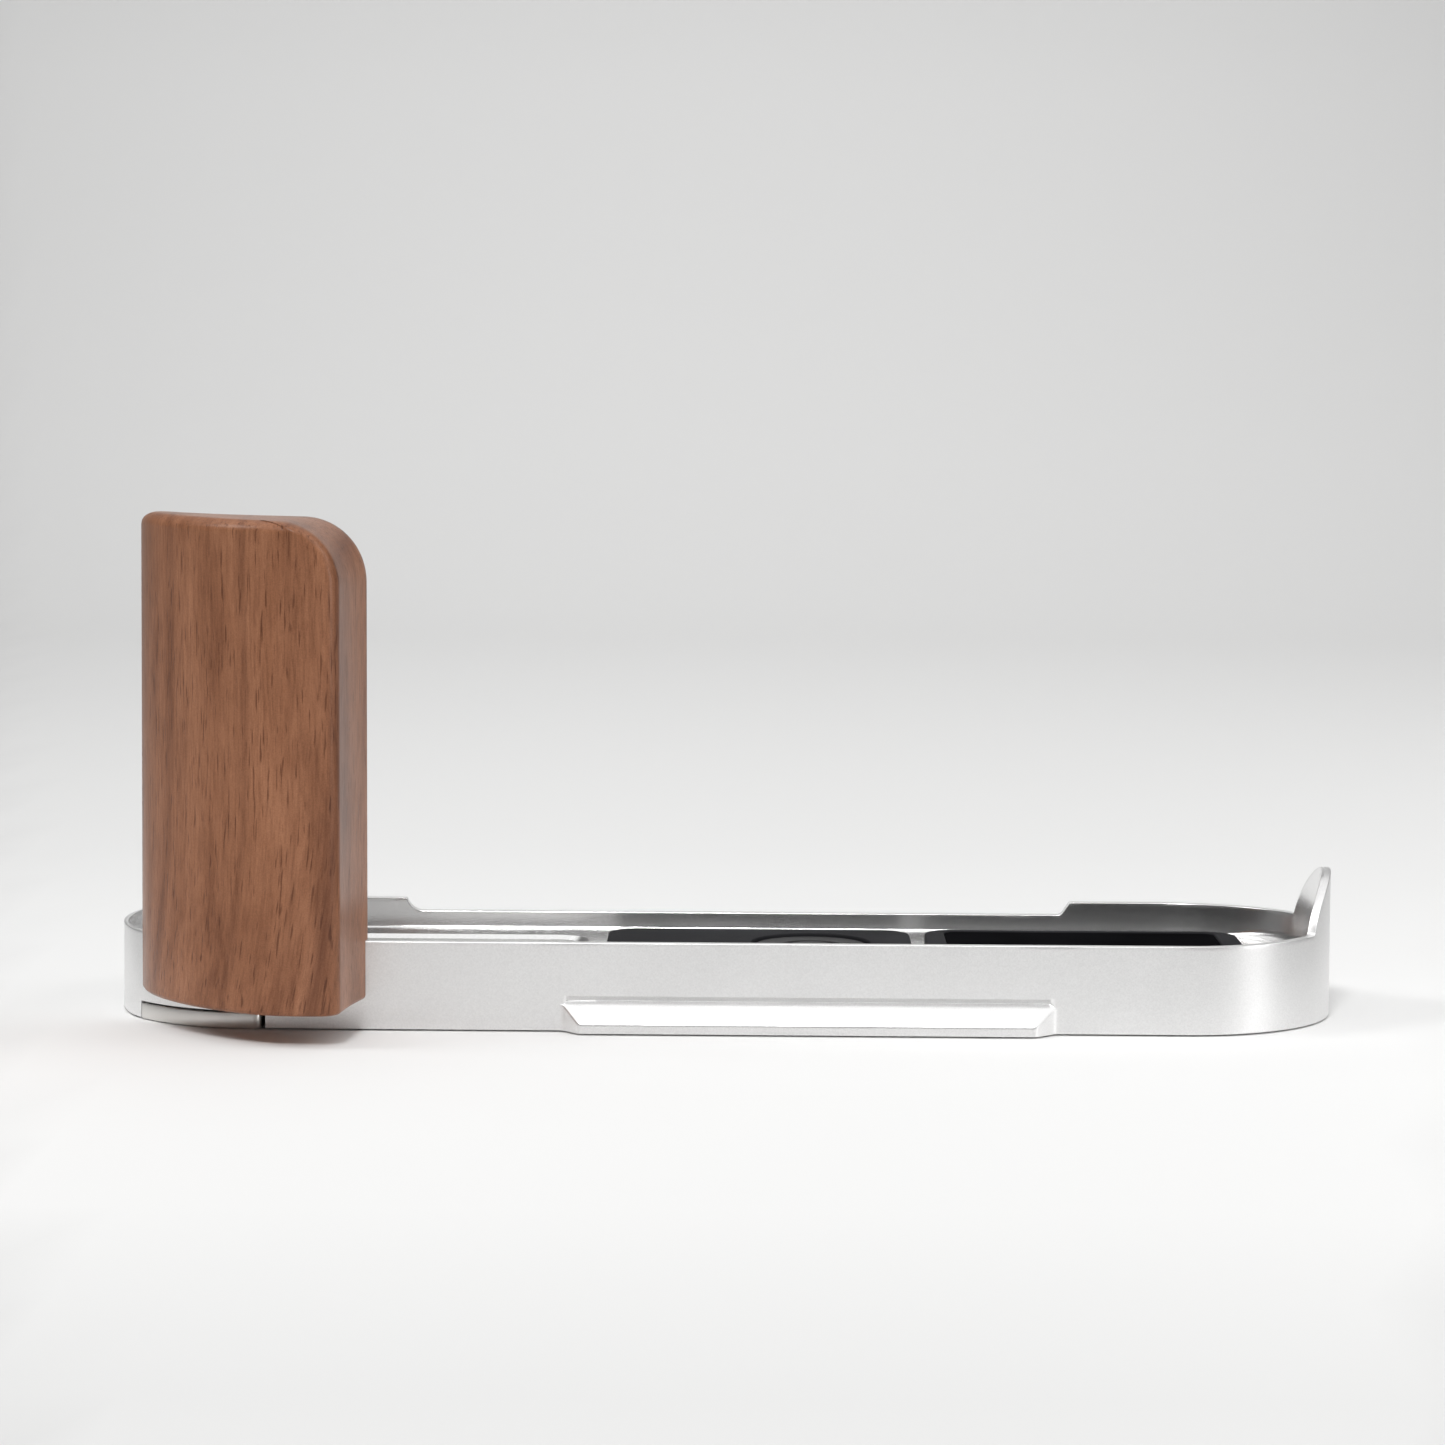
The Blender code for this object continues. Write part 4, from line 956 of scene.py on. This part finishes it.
tools = [
    cutter("lug_pocket", lug_plan(-LUG_GAP, 1.0, LUG_TAIL_GAP, 0), BELOW, POCKET_TOP),
    cutter("lug_sweep", circle(PIVOT, LUG_SWEEP_R), BELOW, POCKET_TOP),
    cutter("pivot_hole", circle(PIVOT, PIVOT_HOLE_R, 32), 1.0, PIVOT_HOLE_TOP),
    cutter("magnet_hole", circle(MAGNET, MAGNET_HOLE_R, 32), 1.0, MAGNET_HOLE_TOP),
    cutter("gate", bracket_slot(INNER_R - 1.0, END_R + 1.0), GATE_LOW, 20.0),
]
for index, x in enumerate(FOOT_HOLE_XS):
    hole = circle((x, FOOT_HOLE_Y), FOOT_HOLE_R, 32)
    tools.append(cutter(f"foot_hole_{index}", hole, 2.7, 7.0))
carve(plate, tools)
for vert in plate.data.vertices:
    share = clamp((END_TRIM_X - vert.co.x / MM) / (END_X + END_R + END_TRIM_X))
    vert.co.x += END_TRIM * MM * smooth(share)
steady_shading(plate)
dress(plate, "plate", ["base_plate"], aluminium)
print("base plate:", len(plate.data.polygons), "faces")

# %% [markdown]
# ## Walnut grip
#
# The grip is carved from a block. Seen from above, its front swells from a thin left edge to a
# belly, and a rounded ridge parts it from the flank. It could be sculpted, but then its measured
# outline would be lost, so the plan is one closed line that is worked out for each height.

# %% Grip outline
GRIP_Z0 = 3.32
GRIP_Z1 = 54.45
GRIP_LEFT = -62.0
GRIP_RIGHT = -37.35
GRIP_LEAN = 0.003
GRIP_FOOT_R = 0.5
SHOULDER_R = 6.4
SHOULDER_RISE = 7.0
LEFT_R = 2.3
LEFT_RISE = 1.5
LEFT_EDGE = (0.3, 0.9)
FRONT_R = 1.5
FRONT_RISE = 1.3
RIDGE_IN = 2.05
RIDGE_R = 1.7
BACK_CORNER_R = 0.35
BELLY_X = -45.0
BELLY_Y = -28.5
BELLY_POWER = 1.5
BELLY_STEP = 0.5
BELLY_BEND = 0.006
SHOULDER_Y = -11.0
FLANK_HOLLOW = 0.2


def resample(points, count):
    """Evenly spaced points along a polyline, ends included."""
    points = np.array([tuple(point) for point in points])
    runs = np.concatenate([[0], np.cumsum(np.linalg.norm(np.diff(points, axis=0), axis=1))])
    wanted = np.linspace(0, runs[-1], count)
    return np.stack([np.interp(wanted, runs, points[:, axis]) for axis in (0, 1)], axis=1)


def evened(points, rounds):
    """Even out a curve by mixing each point with its neighbours; the ends stay."""
    for _ in range(rounds):
        points[1:-1] = (points[:-2] + 2 * points[1:-1] + points[2:]) / 4
    return points


def belly_curve():
    """The front in plan: a superellipse from the thin left end to the belly, then nearly flat."""
    curve = []
    power = 2 / BELLY_POWER
    for turn in np.linspace(0, math.pi / 2, 90):
        x = BELLY_X - (BELLY_X - GRIP_LEFT) * math.cos(turn) ** power
        y = SHOULDER_Y + (BELLY_Y - SHOULDER_Y) * math.sin(turn) ** power
        curve.append(Vector((x, y)))
    for step in range(1, 16):
        x = BELLY_X + BELLY_STEP * step
        curve.append(Vector((x, BELLY_Y + BELLY_BEND * (x - BELLY_X) ** 2)))
    return [Vector(point) for point in evened(resample(curve, 90), 40)]


front_curve = belly_curve()


def draw_in(over, radius, rise=None):
    """How far a rounded edge draws in at a height past the start of its rounding."""
    rise = radius if rise is None else rise
    return radius * (1 - math.sqrt(1 - clamp(over / rise) ** 2))


def grip_back(x):
    """The back of the grip, which follows the inside of the rim."""
    if x > -END_X:
        return -INNER_R
    return -math.sqrt(max(INNER_R**2 - (x + END_X) ** 2, 0.0))


def grip_section(z):
    """The grip's plan at a height."""
    foot = draw_in(GRIP_Z0 + GRIP_FOOT_R - z, GRIP_FOOT_R)
    right_in = draw_in(z - (GRIP_Z1 - SHOULDER_RISE), SHOULDER_R, SHOULDER_RISE) + foot
    left_in = draw_in(z - (GRIP_Z1 - LEFT_RISE), LEFT_R, LEFT_RISE) + foot
    front_in = draw_in(z - (GRIP_Z1 - FRONT_RISE), FRONT_R, FRONT_RISE) + foot
    left, right = GRIP_LEFT + left_in, GRIP_RIGHT - GRIP_LEAN * (z - GRIP_Z0) - right_in
    ridge_x = right - RIDGE_IN
    front = []
    for index, point in enumerate(front_curve):
        before = front_curve[max(index - 1, 0)]
        after = front_curve[min(index + 1, len(front_curve) - 1)]
        along = (after - before).normalized()
        moved = point + Vector((-along.y, along.x)) * front_in
        front.append((moved.x, moved.y))
    front = [(x, y) for x, y in front if left < x < ridge_x - 0.02]
    ridge_y = float(np.interp(ridge_x, [p[0] for p in front], [p[1] for p in front]))
    back_right = (right, grip_back(right))
    ridge = corner_arc(front[-1], (ridge_x, ridge_y), back_right, RIDGE_R, 14)
    trimmed = [point for point in front if point[0] < ridge[0].x - 0.05]
    left_front = (left, trimmed[0][1] + LEFT_EDGE[0])
    left_back = (left, min(grip_back(left), trimmed[0][1] + LEFT_EDGE[1]))
    run_front = resample([left_front] + trimmed + [tuple(ridge[0])], 90)
    run_ridge = [tuple(point) for point in ridge[1:]]
    behind = (right - 3, grip_back(right - 3))
    corner = corner_arc(ridge[-1], back_right, behind, BACK_CORNER_R, 4)
    run_flank = resample([tuple(ridge[-1]), tuple(corner[0])], 14)
    shares = np.linspace(0, 1, 14)
    run_flank[:, 0] -= FLANK_HOLLOW * 4 * shares * (1 - shares)
    run_flank = run_flank[1:]
    run_corner = [tuple(point) for point in corner[1:]]
    xs = np.linspace(corner[-1].x, left, 40)[1:]
    run_back = [(x, grip_back(x)) for x in xs[:-1]] + [left_back]
    runs = (run_front, run_ridge, run_flank, run_corner, run_back)
    return [tuple(point) for run in runs for point in run]


print("grip outline at the belly:", len(grip_section(20.0)), "points")

# %% [markdown]
# ### The loft
#
# The outlines are stacked and bridged. Upwards they draw in fast at the right, so that one
# band rounds the shoulder and becomes the top. A Bevel modifier could not do that, because the
# shoulder is far rounder than the left and the front edges. The top is then tilted a little, and
# the rim's seat and the bracket's pocket are cut out of the back.

# %% Walnut grip
GRIP_TILT = 0.019
GRIP_TILT_FROM = 40.0
GRIP_TILT_X = -60.3
SEAT_FROM = -20
SEAT_STEP = 0.6


def build_grip():
    """Loft the grip's sections and tilt its top a little."""
    heights = list(GRIP_Z0 + GRIP_FOOT_R * (1 - np.cos(np.linspace(0, math.pi / 2, 5))))
    heights += list(np.linspace(GRIP_Z0 + GRIP_FOOT_R, GRIP_Z1 - SHOULDER_RISE, 26)[1:])
    heights += list(GRIP_Z1 - SHOULDER_RISE * (1 - np.sin(np.linspace(0, math.pi / 2, 30)))[1:])
    heights = sorted(set(round(float(z), 5) for z in heights))
    build = bmesh.new()
    rings = []
    for z in heights:
        slope = GRIP_TILT * clamp((z - GRIP_TILT_FROM) / (GRIP_Z1 - GRIP_TILT_FROM)) ** 2
        points = grip_section(min(z, GRIP_Z1 - 0.0005))
        rings.append(add_ring(build, [(x, y, z - slope * (x - GRIP_TILT_X)) for x, y in points]))
    loft(build, rings)
    return to_object("walnut_grip_fine", build, 50)


grip = build_grip()
# The seat follows the plate's outer face, from its round end to the straight front.
seat = [place(SEAT_FROM + step * SEAT_STEP, -0.1) for step in range(121)]
seat += [(seat[-1][0], 0), (seat[0][0], 0)]
grip_tools = [
    cutter("rim_seat", seat, BELOW, RIM_Z + 0.1),
    cutter("upright_pocket", bracket_slot(INNER_R - 2.0, END_R + 1.1), BELOW, 48.1),
]
carve(grip, grip_tools)
steady_shading(grip, 45)
dress(grip, "plate", ["wood_grip"], walnut)
print("walnut grip:", len(grip.data.polygons), "faces")

# %% [markdown]
# ## Pads
#
# Thin rubber pads carry the camera and keep it off the metal. They are cut from sheet, with edges
# that are soft but not round. A Bevel modifier would do too, but rings leave nothing to bake. The
# side pad is a frame round a blacker, softer sheet, which is a piece of its own.

# %% Pads
CENTRE_PAD = (-12.85, 20.5, -9.4, 9.4, 3.2)
CENTRE_HOLE_R = 6.5
SIDE_PAD = (22.2, 56.8, -9.4, 10.2, 3.4)
SIDE_HOLE = (24.4, 54.5, -8.3, 9.1, 1.4)
INSERT = (24.43, 54.47, -8.27, 9.07, 1.37)
INSERT_Z = 7.1
END_PAD_LEFT_GAP = 1.6
END_PAD_RIGHT = -56.6
END_PAD_FRONT = -7.6


def ring_pad(name, outline_at, hole_at, low, high, edge=0.18):
    """A pad with a hole through it, with softly rounded upper edges."""
    build = bmesh.new()
    outer, inner = [], []
    turns = np.linspace(0, math.pi / 2, 4)
    rounding = [(high - edge * (1 - math.sin(t)), edge * (1 - math.cos(t))) for t in turns]
    for z, inset in [(low, 0.0)] + rounding:
        outer.append(add_ring(build, level(outline_at(inset), z)))
        inner.append(add_ring(build, level(hole_at(-inset), z)))
    bridge(build, outer)
    bridge(build, inner)
    fill_flat(build, outer[0], inner[0])
    fill_flat(build, outer[-1], inner[-1])
    return to_object(name, build)


centre_pad = ring_pad(
    "centre_pad_fine",
    lambda inset: box_outline(*CENTRE_PAD, inset),
    lambda inset: circle((SCREW_X, 0), CENTRE_HOLE_R - inset),
    FLOOR_Z,
    PAD_Z,
)
side_pad = ring_pad(
    "side_pad_fine",
    lambda inset: box_outline(*SIDE_PAD, inset),
    lambda inset: box_outline(*SIDE_HOLE, inset),
    FLOOR_Z,
    PAD_Z,
)
insert = soft_slab(
    "side_pad_insert_fine",
    lambda inset: box_outline(*INSERT, inset),
    FLOOR_Z, INSERT_Z, 0.15,
)


def end_pad_plan(inset):
    """The pad at the grip's end, with one straight side along the opening."""
    radius = INNER_R - END_PAD_LEFT_GAP - inset
    chord = END_PAD_RIGHT - inset
    front = END_PAD_FRONT + inset
    chord_turn = math.degrees(math.acos((chord + END_X) / radius))
    front_turn = 180 + math.degrees(math.asin(-front / radius))
    return end_arc(radius, chord_turn, front_turn, 30) + [(chord, front)]


end_pad = soft_slab("end_pad_fine", end_pad_plan, FLOOR_Z, PAD_Z, 0.15)
for pad in (centre_pad, side_pad, insert, end_pad):
    steady_shading(pad)
dress(centre_pad, "plate", ["centre_pad"], rubber)
dress(side_pad, "plate", ["side_pad"], rubber)
dress(insert, "plate", ["side_pad_insert"], foam)
dress(end_pad, "plate", ["end_pad"], rubber)
print("pads: 4")

# %% [markdown]
# ## Strap lug
#
# A polished steel arc closes the lower front corner, swings out on its pivot and has an eye for
# the strap. It could be drawn on its own, but its plan is the pocket's plan with an inset, so the
# two always fit.

# %% Strap lug
lug = soft_slab("strap_lug_fine", lug_plan, 0.1, 1.8, 0.12)
lug_tools = [
    cutter("lug_eye", circle(LUG_EYE, 1.3, 48), BELOW, 3.0),
    cutter("lug_bore", circle(PIVOT, 1.31, 48), BELOW, 3.0),
    cutter("lug_head_seat", circle(PIVOT, 1.96, 48), BELOW, 0.76),
]
carve(lug, lug_tools)
lug.data.set_sharp_from_angle(angle=math.radians(25))
dress(lug, "lug", ["strap_lug"], steel)
print("strap lug:", len(lug.data.polygons), "faces")

# %% [markdown]
# ## Turned pieces
#
# These come off a lathe, and so each is a profile turned round its axis. The camera screw is let
# down in its recess, with its washer under the floor and its retainer over it. The tripod bush is
# pressed into the underside, and the lug turns on its pivot screw. The threads could be helices,
# but rings read the same at this size and keep the piece a closed solid.

# %% Turned pieces
THREAD_PITCH = 1.27
SCREW_THREAD = (1.3, 6.4, 3.175, 0.42)
BUSH_THREAD = (0.55, 4.9, 2.9, 0.3)
BUSH_TURN = 0.05
SLOT = (SCREW_X - 8, SCREW_X + 8, -0.8, 0.8, 0.05)
SLOT_TOP = 0.8


def thread_profile(low, high, radius, depth):
    """Radii and heights of a run of rings that reads as a thread."""
    profile = []
    for turn in range(int((high - low) / THREAD_PITCH)):
        z = low + turn * THREAD_PITCH
        profile += [(radius - depth, z), (radius - depth, z + THREAD_PITCH * 0.1)]
        profile += [(radius, z + THREAD_PITCH * 0.45), (radius, z + THREAD_PITCH * 0.6)]
    return profile


screw_profile = [(6.4, 0.1), (6.6, 0.3), (6.6, 0.95), (6.45, 1.1), (3.1, 1.1)]
screw_profile += thread_profile(*SCREW_THREAD)
screw_profile += [(2.75, 6.42), (3.0, 6.5), (2.45, 6.9)]
screw = turned("camera_screw_fine", screw_profile, (SCREW_X, 0))
carve(screw, [cutter("screw_slot", box_outline(*SLOT), BELOW, SLOT_TOP)])
steady_shading(screw)
dress(screw, "screw", ["camera_screw"], black_steel)

washer = turned(
    "screw_washer_fine",
    [
        (SCREW_BORE_R, 1.12), (5.70, 1.12), (5.775, 1.16), (5.775, 1.25), (5.70, 1.30),
        (SCREW_BORE_R, 1.30),
    ],
    (SCREW_X, 0), hollow=True,
)
dress(washer, "screw_carrier", ["screw_washer"], nylon)
retainer = turned(
    "screw_retainer_fine",
    [
        (SCREW_BORE_R, FLOOR_Z), (6.175, FLOOR_Z), (6.175, 6.80), (6.05, 6.90), (3.40, 6.90),
        (SCREW_BORE_R, 6.80),
    ],
    (SCREW_X, 0), hollow=True,
)
dress(retainer, "plate", ["screw_retainer"], nylon)

bush_profile = [(3.0, 0.1), (3.9, 0.1), (4.2, 0.4), (4.2, 5.0), (2.6, 5.0)]
bush_profile += [(radius - BUSH_TURN, z) for radius, z in reversed(thread_profile(*BUSH_THREAD))]
bush = turned("tripod_bush_fine", bush_profile, (BUSH_X, 0), hollow=True)
for thing in (washer, retainer, bush):
    steady_shading(thing)
dress(bush, "plate", ["tripod_bush"], steel)

pivot_screw = turned(
    "lug_pivot_screw_fine",
    [
        (0.7, 0.5), (0.7, 0.1), (1.80, 0.1), (1.9, 0.2), (1.9, 0.7), (1.25, 0.7), (1.25, 1.95),
        (1.0, 1.95), (1.0, 4.6),
    ],
    PIVOT, 48,
)
steady_shading(pivot_screw)
dress(pivot_screw, "plate", ["lug_pivot_screw"], steel)
print("turned pieces: 5")

# %% [markdown]
# ## Pieces kept from the frame
#
# The bracket, its fasteners and the small hidden pieces are hardly seen. They could be modelled
# again, but their plain meshes already fit, so each one only takes a finish.

# %% Pieces kept from the frame
KEPT = {
    "grip_bracket": bracket_metal,
    "upright_liner": rubber,
    "lug_wave_washer": steel,
    "lug_magnet": nickel,
}
for number in (1, 2, 3):
    KEPT[f"foot_screw_{number}"] = steel
    KEPT[f"grip_screw_{number}"] = steel
    KEPT[f"grip_insert_{number}"] = brass
for node, material in KEPT.items():
    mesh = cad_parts[node].data
    mesh.materials.clear()
    mesh.materials.append(material)
print("kept from the frame:", len(KEPT))

# %% [markdown]
# ## Sweep
#
# The object stands on pale paper that curves up behind it, so that no line parts floor and wall.
# The slow fall of the light from front to back and towards the sides is painted into its colour.
# More lamps could do that, but they would show in the metal, so the painted light is an attribute
# on the sweep's points.

# %% Sweep
SWEEP_FRONT = -1.2
SWEEP_BACK = 0.55
SWEEP_BEND = 0.5
SWEEP_TOP = 2.2
SWEEP_HALF = 2.0
NEAR_HALF = 0.3
PAINTED_SIDE_SHADE = 0.4
VIEW_BACK = 0.431
VIEW_SPREAD = 0.175
# Each row is a distance along the sweep, its level of painted light, and how far that painted light
# falls left and right.
PAINTED_LIGHT_ROWS = [
    (-1.2, 0.70, 0.02, -0.02), (-0.16, 0.75, 0.02, -0.02), (-0.10, 0.85, 0.00, -0.02),
    (-0.04, 0.89, 0.00, -0.02), (0.04, 0.88, 0.02, -0.03), (0.14, 0.85, 0.05, -0.03),
    (0.38, 0.87, 0.09, 0.02), (0.75, 0.91, 0.08, 0.06), (0.96, 0.90, 0.08, 0.09),
    (1.17, 0.77, 0.08, 0.09), (3.6, 0.76, 0.08, 0.09),
]


def build_sweep():
    """A floor that curves up into a backdrop, with a slow fall of light painted into its colour."""
    profile = [(y, 0.0) for y in np.linspace(SWEEP_FRONT, SWEEP_BACK, 60)]
    for turn in np.linspace(0, math.pi / 2, 50)[1:]:
        rise = SWEEP_BEND * (1 - math.cos(turn))
        profile.append((SWEEP_BACK + SWEEP_BEND * math.sin(turn), rise))
    wall = np.linspace(SWEEP_BEND + 0.05, SWEEP_TOP, 12)
    profile += [(SWEEP_BACK + SWEEP_BEND, z) for z in wall]
    build = bmesh.new()
    painted_light = build.verts.layers.float.new("painted_light")
    places, painted_levels, left_falls, right_falls = zip(*PAINTED_LIGHT_ROWS)
    wide = np.linspace(-SWEEP_HALF, SWEEP_HALF, 31)
    columns = sorted(set(wide) | set(np.linspace(-NEAR_HALF, NEAR_HALF, 61)))
    run, rows = profile[0][0], []
    for index, (y, z) in enumerate(profile):
        if index:
            run += math.dist((y, z), profile[index - 1])
        row = []
        for x in columns:
            vert = build.verts.new((x, y, z))
            # Painted light: darker towards the sides, and darker still beyond them.
            side = min(abs(x) / (VIEW_SPREAD * (VIEW_BACK + max(y, -0.3))), 1.6)
            fall = np.interp(run, places, left_falls if x < 0 else right_falls) * side**2
            beyond = clamp((side - 1.05) / 0.5)
            shade = np.interp(run, places, painted_levels) * (1 - fall)
            vert[painted_light] = shade * (1 - PAINTED_SIDE_SHADE * beyond)
            row.append(vert)
        rows.append(row)
    for low, high in zip(rows, rows[1:]):
        for index in range(len(low) - 1):
            build.faces.new((low[index], low[index + 1], high[index + 1], high[index]))
    mesh = bpy.data.meshes.new("sweep")
    build.to_mesh(mesh)
    build.free()
    mesh.shade_smooth()
    thing = bpy.data.objects.new("sweep", mesh)
    bpy.context.scene.collection.objects.link(thing)
    return thing


sweep = build_sweep()
paper, tree, shader, where = new_material("pale_paper")
painted = tree.nodes.new("ShaderNodeAttribute")
painted.attribute_name = "painted_light"
grey = ramp(tree, noise(tree, where, 3.0), [(0.0, (0.99, 0.99, 0.985)), (1.0, (1.0, 1.0, 0.995))])
# The paper's own colour is multiplied by the painted light.
tree.links.new(multiply(tree, grey, painted.outputs["Color"], 1.0), shader.inputs["Base Color"])
shader.inputs["Roughness"].default_value = 0.9
shader.inputs["Specular IOR Level"].default_value = 0.1
sweep.data.materials.append(paper)
print("sweep ready")

# %% [markdown]
# ## Light
#
# Metal shows what stands round it, so the size and the place of a lamp count for more than its
# power. A wide softbox overhead whitens the tops and the bevels. The key lamp stands high in
# front, a little to the left, and weaker lamps stand on both sides. A picture of a studio round
# the scene could light it too, but each lamp here can be moved on its own.

# %% Light
scene = bpy.context.scene
scene.view_settings.view_transform = "Standard"
# Each row is a name, a place, a target, a width, a height and a power.
LAMPS = (
    ("top_softbox", (0.05, -0.02, 1.0), (0.05, -0.02, 0.0), 2.0, 1.7, 9.2),
    ("key", (-0.12, -0.82, 0.90), (-0.03, 0.0, 0.0), 0.22, 0.22, 6.0),
    ("left_softbox", (-0.85, -0.12, 0.75), (0.0, 0.0, 0.0), 0.40, 0.40, 2.6),
    ("right_fill", (0.85, -0.10, 0.60), (0.0, 0.0, 0.0), 0.50, 0.50, 1.5),
    ("right_strip", (0.58, -0.36, 0.10), (0.055, 0.0, 0.0), 0.05, 0.2, 0.45),
)
ROOM_TINT = (1.0, 0.99, 0.98, 1.0)
ROOM_STRENGTH = 0.10


def area_light(name, position, target, width, height, power):
    """A rectangular soft lamp that faces a target."""
    data = bpy.data.lights.new(name, "AREA")
    data.shape = "RECTANGLE"
    data.size = width
    data.size_y = height
    data.energy = power
    lamp = bpy.data.objects.new(name, data)
    lamp.location = position
    lamp.rotation_euler = (Vector(target) - Vector(position)).to_track_quat("-Z", "Y").to_euler()
    scene.collection.objects.link(lamp)


for row in LAMPS:
    area_light(*row)
world = bpy.data.worlds.new("room")
world.use_nodes = True
background = world.node_tree.nodes["Background"]
background.inputs["Color"].default_value = ROOM_TINT
background.inputs["Strength"].default_value = ROOM_STRENGTH
scene.world = world
print("lamps:", len(LAMPS))

# %% [markdown]
# ## Camera
#
# The photograph looks over the rim from a little above, through a long lens. A camera could be
# set by eye, but then no size could be read from the picture. So its place, turn and roll were
# fitted to the plate's outline, and a small shift sets the object's height in the picture.

# %% Camera
CAMERA_PLACE = (0.003273, -0.43098, 0.07243)
CAMERA_PITCH = 0.0637157
CAMERA_YAW = 0.0085305
CAMERA_ROLL = 0.0061523

camera_data = bpy.data.cameras.new("camera")
camera_data.sensor_width = 36.0
camera_data.lens = 98.87
camera_data.shift_y = -0.0867
camera_data.clip_start = 0.01
camera = bpy.data.objects.new("camera", camera_data)
scene.collection.objects.link(camera)
ahead = Vector((-math.sin(CAMERA_YAW), math.cos(CAMERA_YAW), 0.0))
forward = ahead * math.cos(CAMERA_PITCH) - Vector((0.0, 0.0, math.sin(CAMERA_PITCH)))
right = Vector((math.cos(CAMERA_YAW), math.sin(CAMERA_YAW), 0.0))
up = right.cross(forward)
rolled_right = right * math.cos(CAMERA_ROLL) + up * math.sin(CAMERA_ROLL)
rolled_up = up * math.cos(CAMERA_ROLL) - right * math.sin(CAMERA_ROLL)
turn = Matrix((rolled_right, rolled_up, -forward)).transposed().to_4x4()
camera.matrix_world = Matrix.Translation(CAMERA_PLACE) @ turn
scene.camera = camera
print("camera at", [round(value, 4) for value in camera.location])
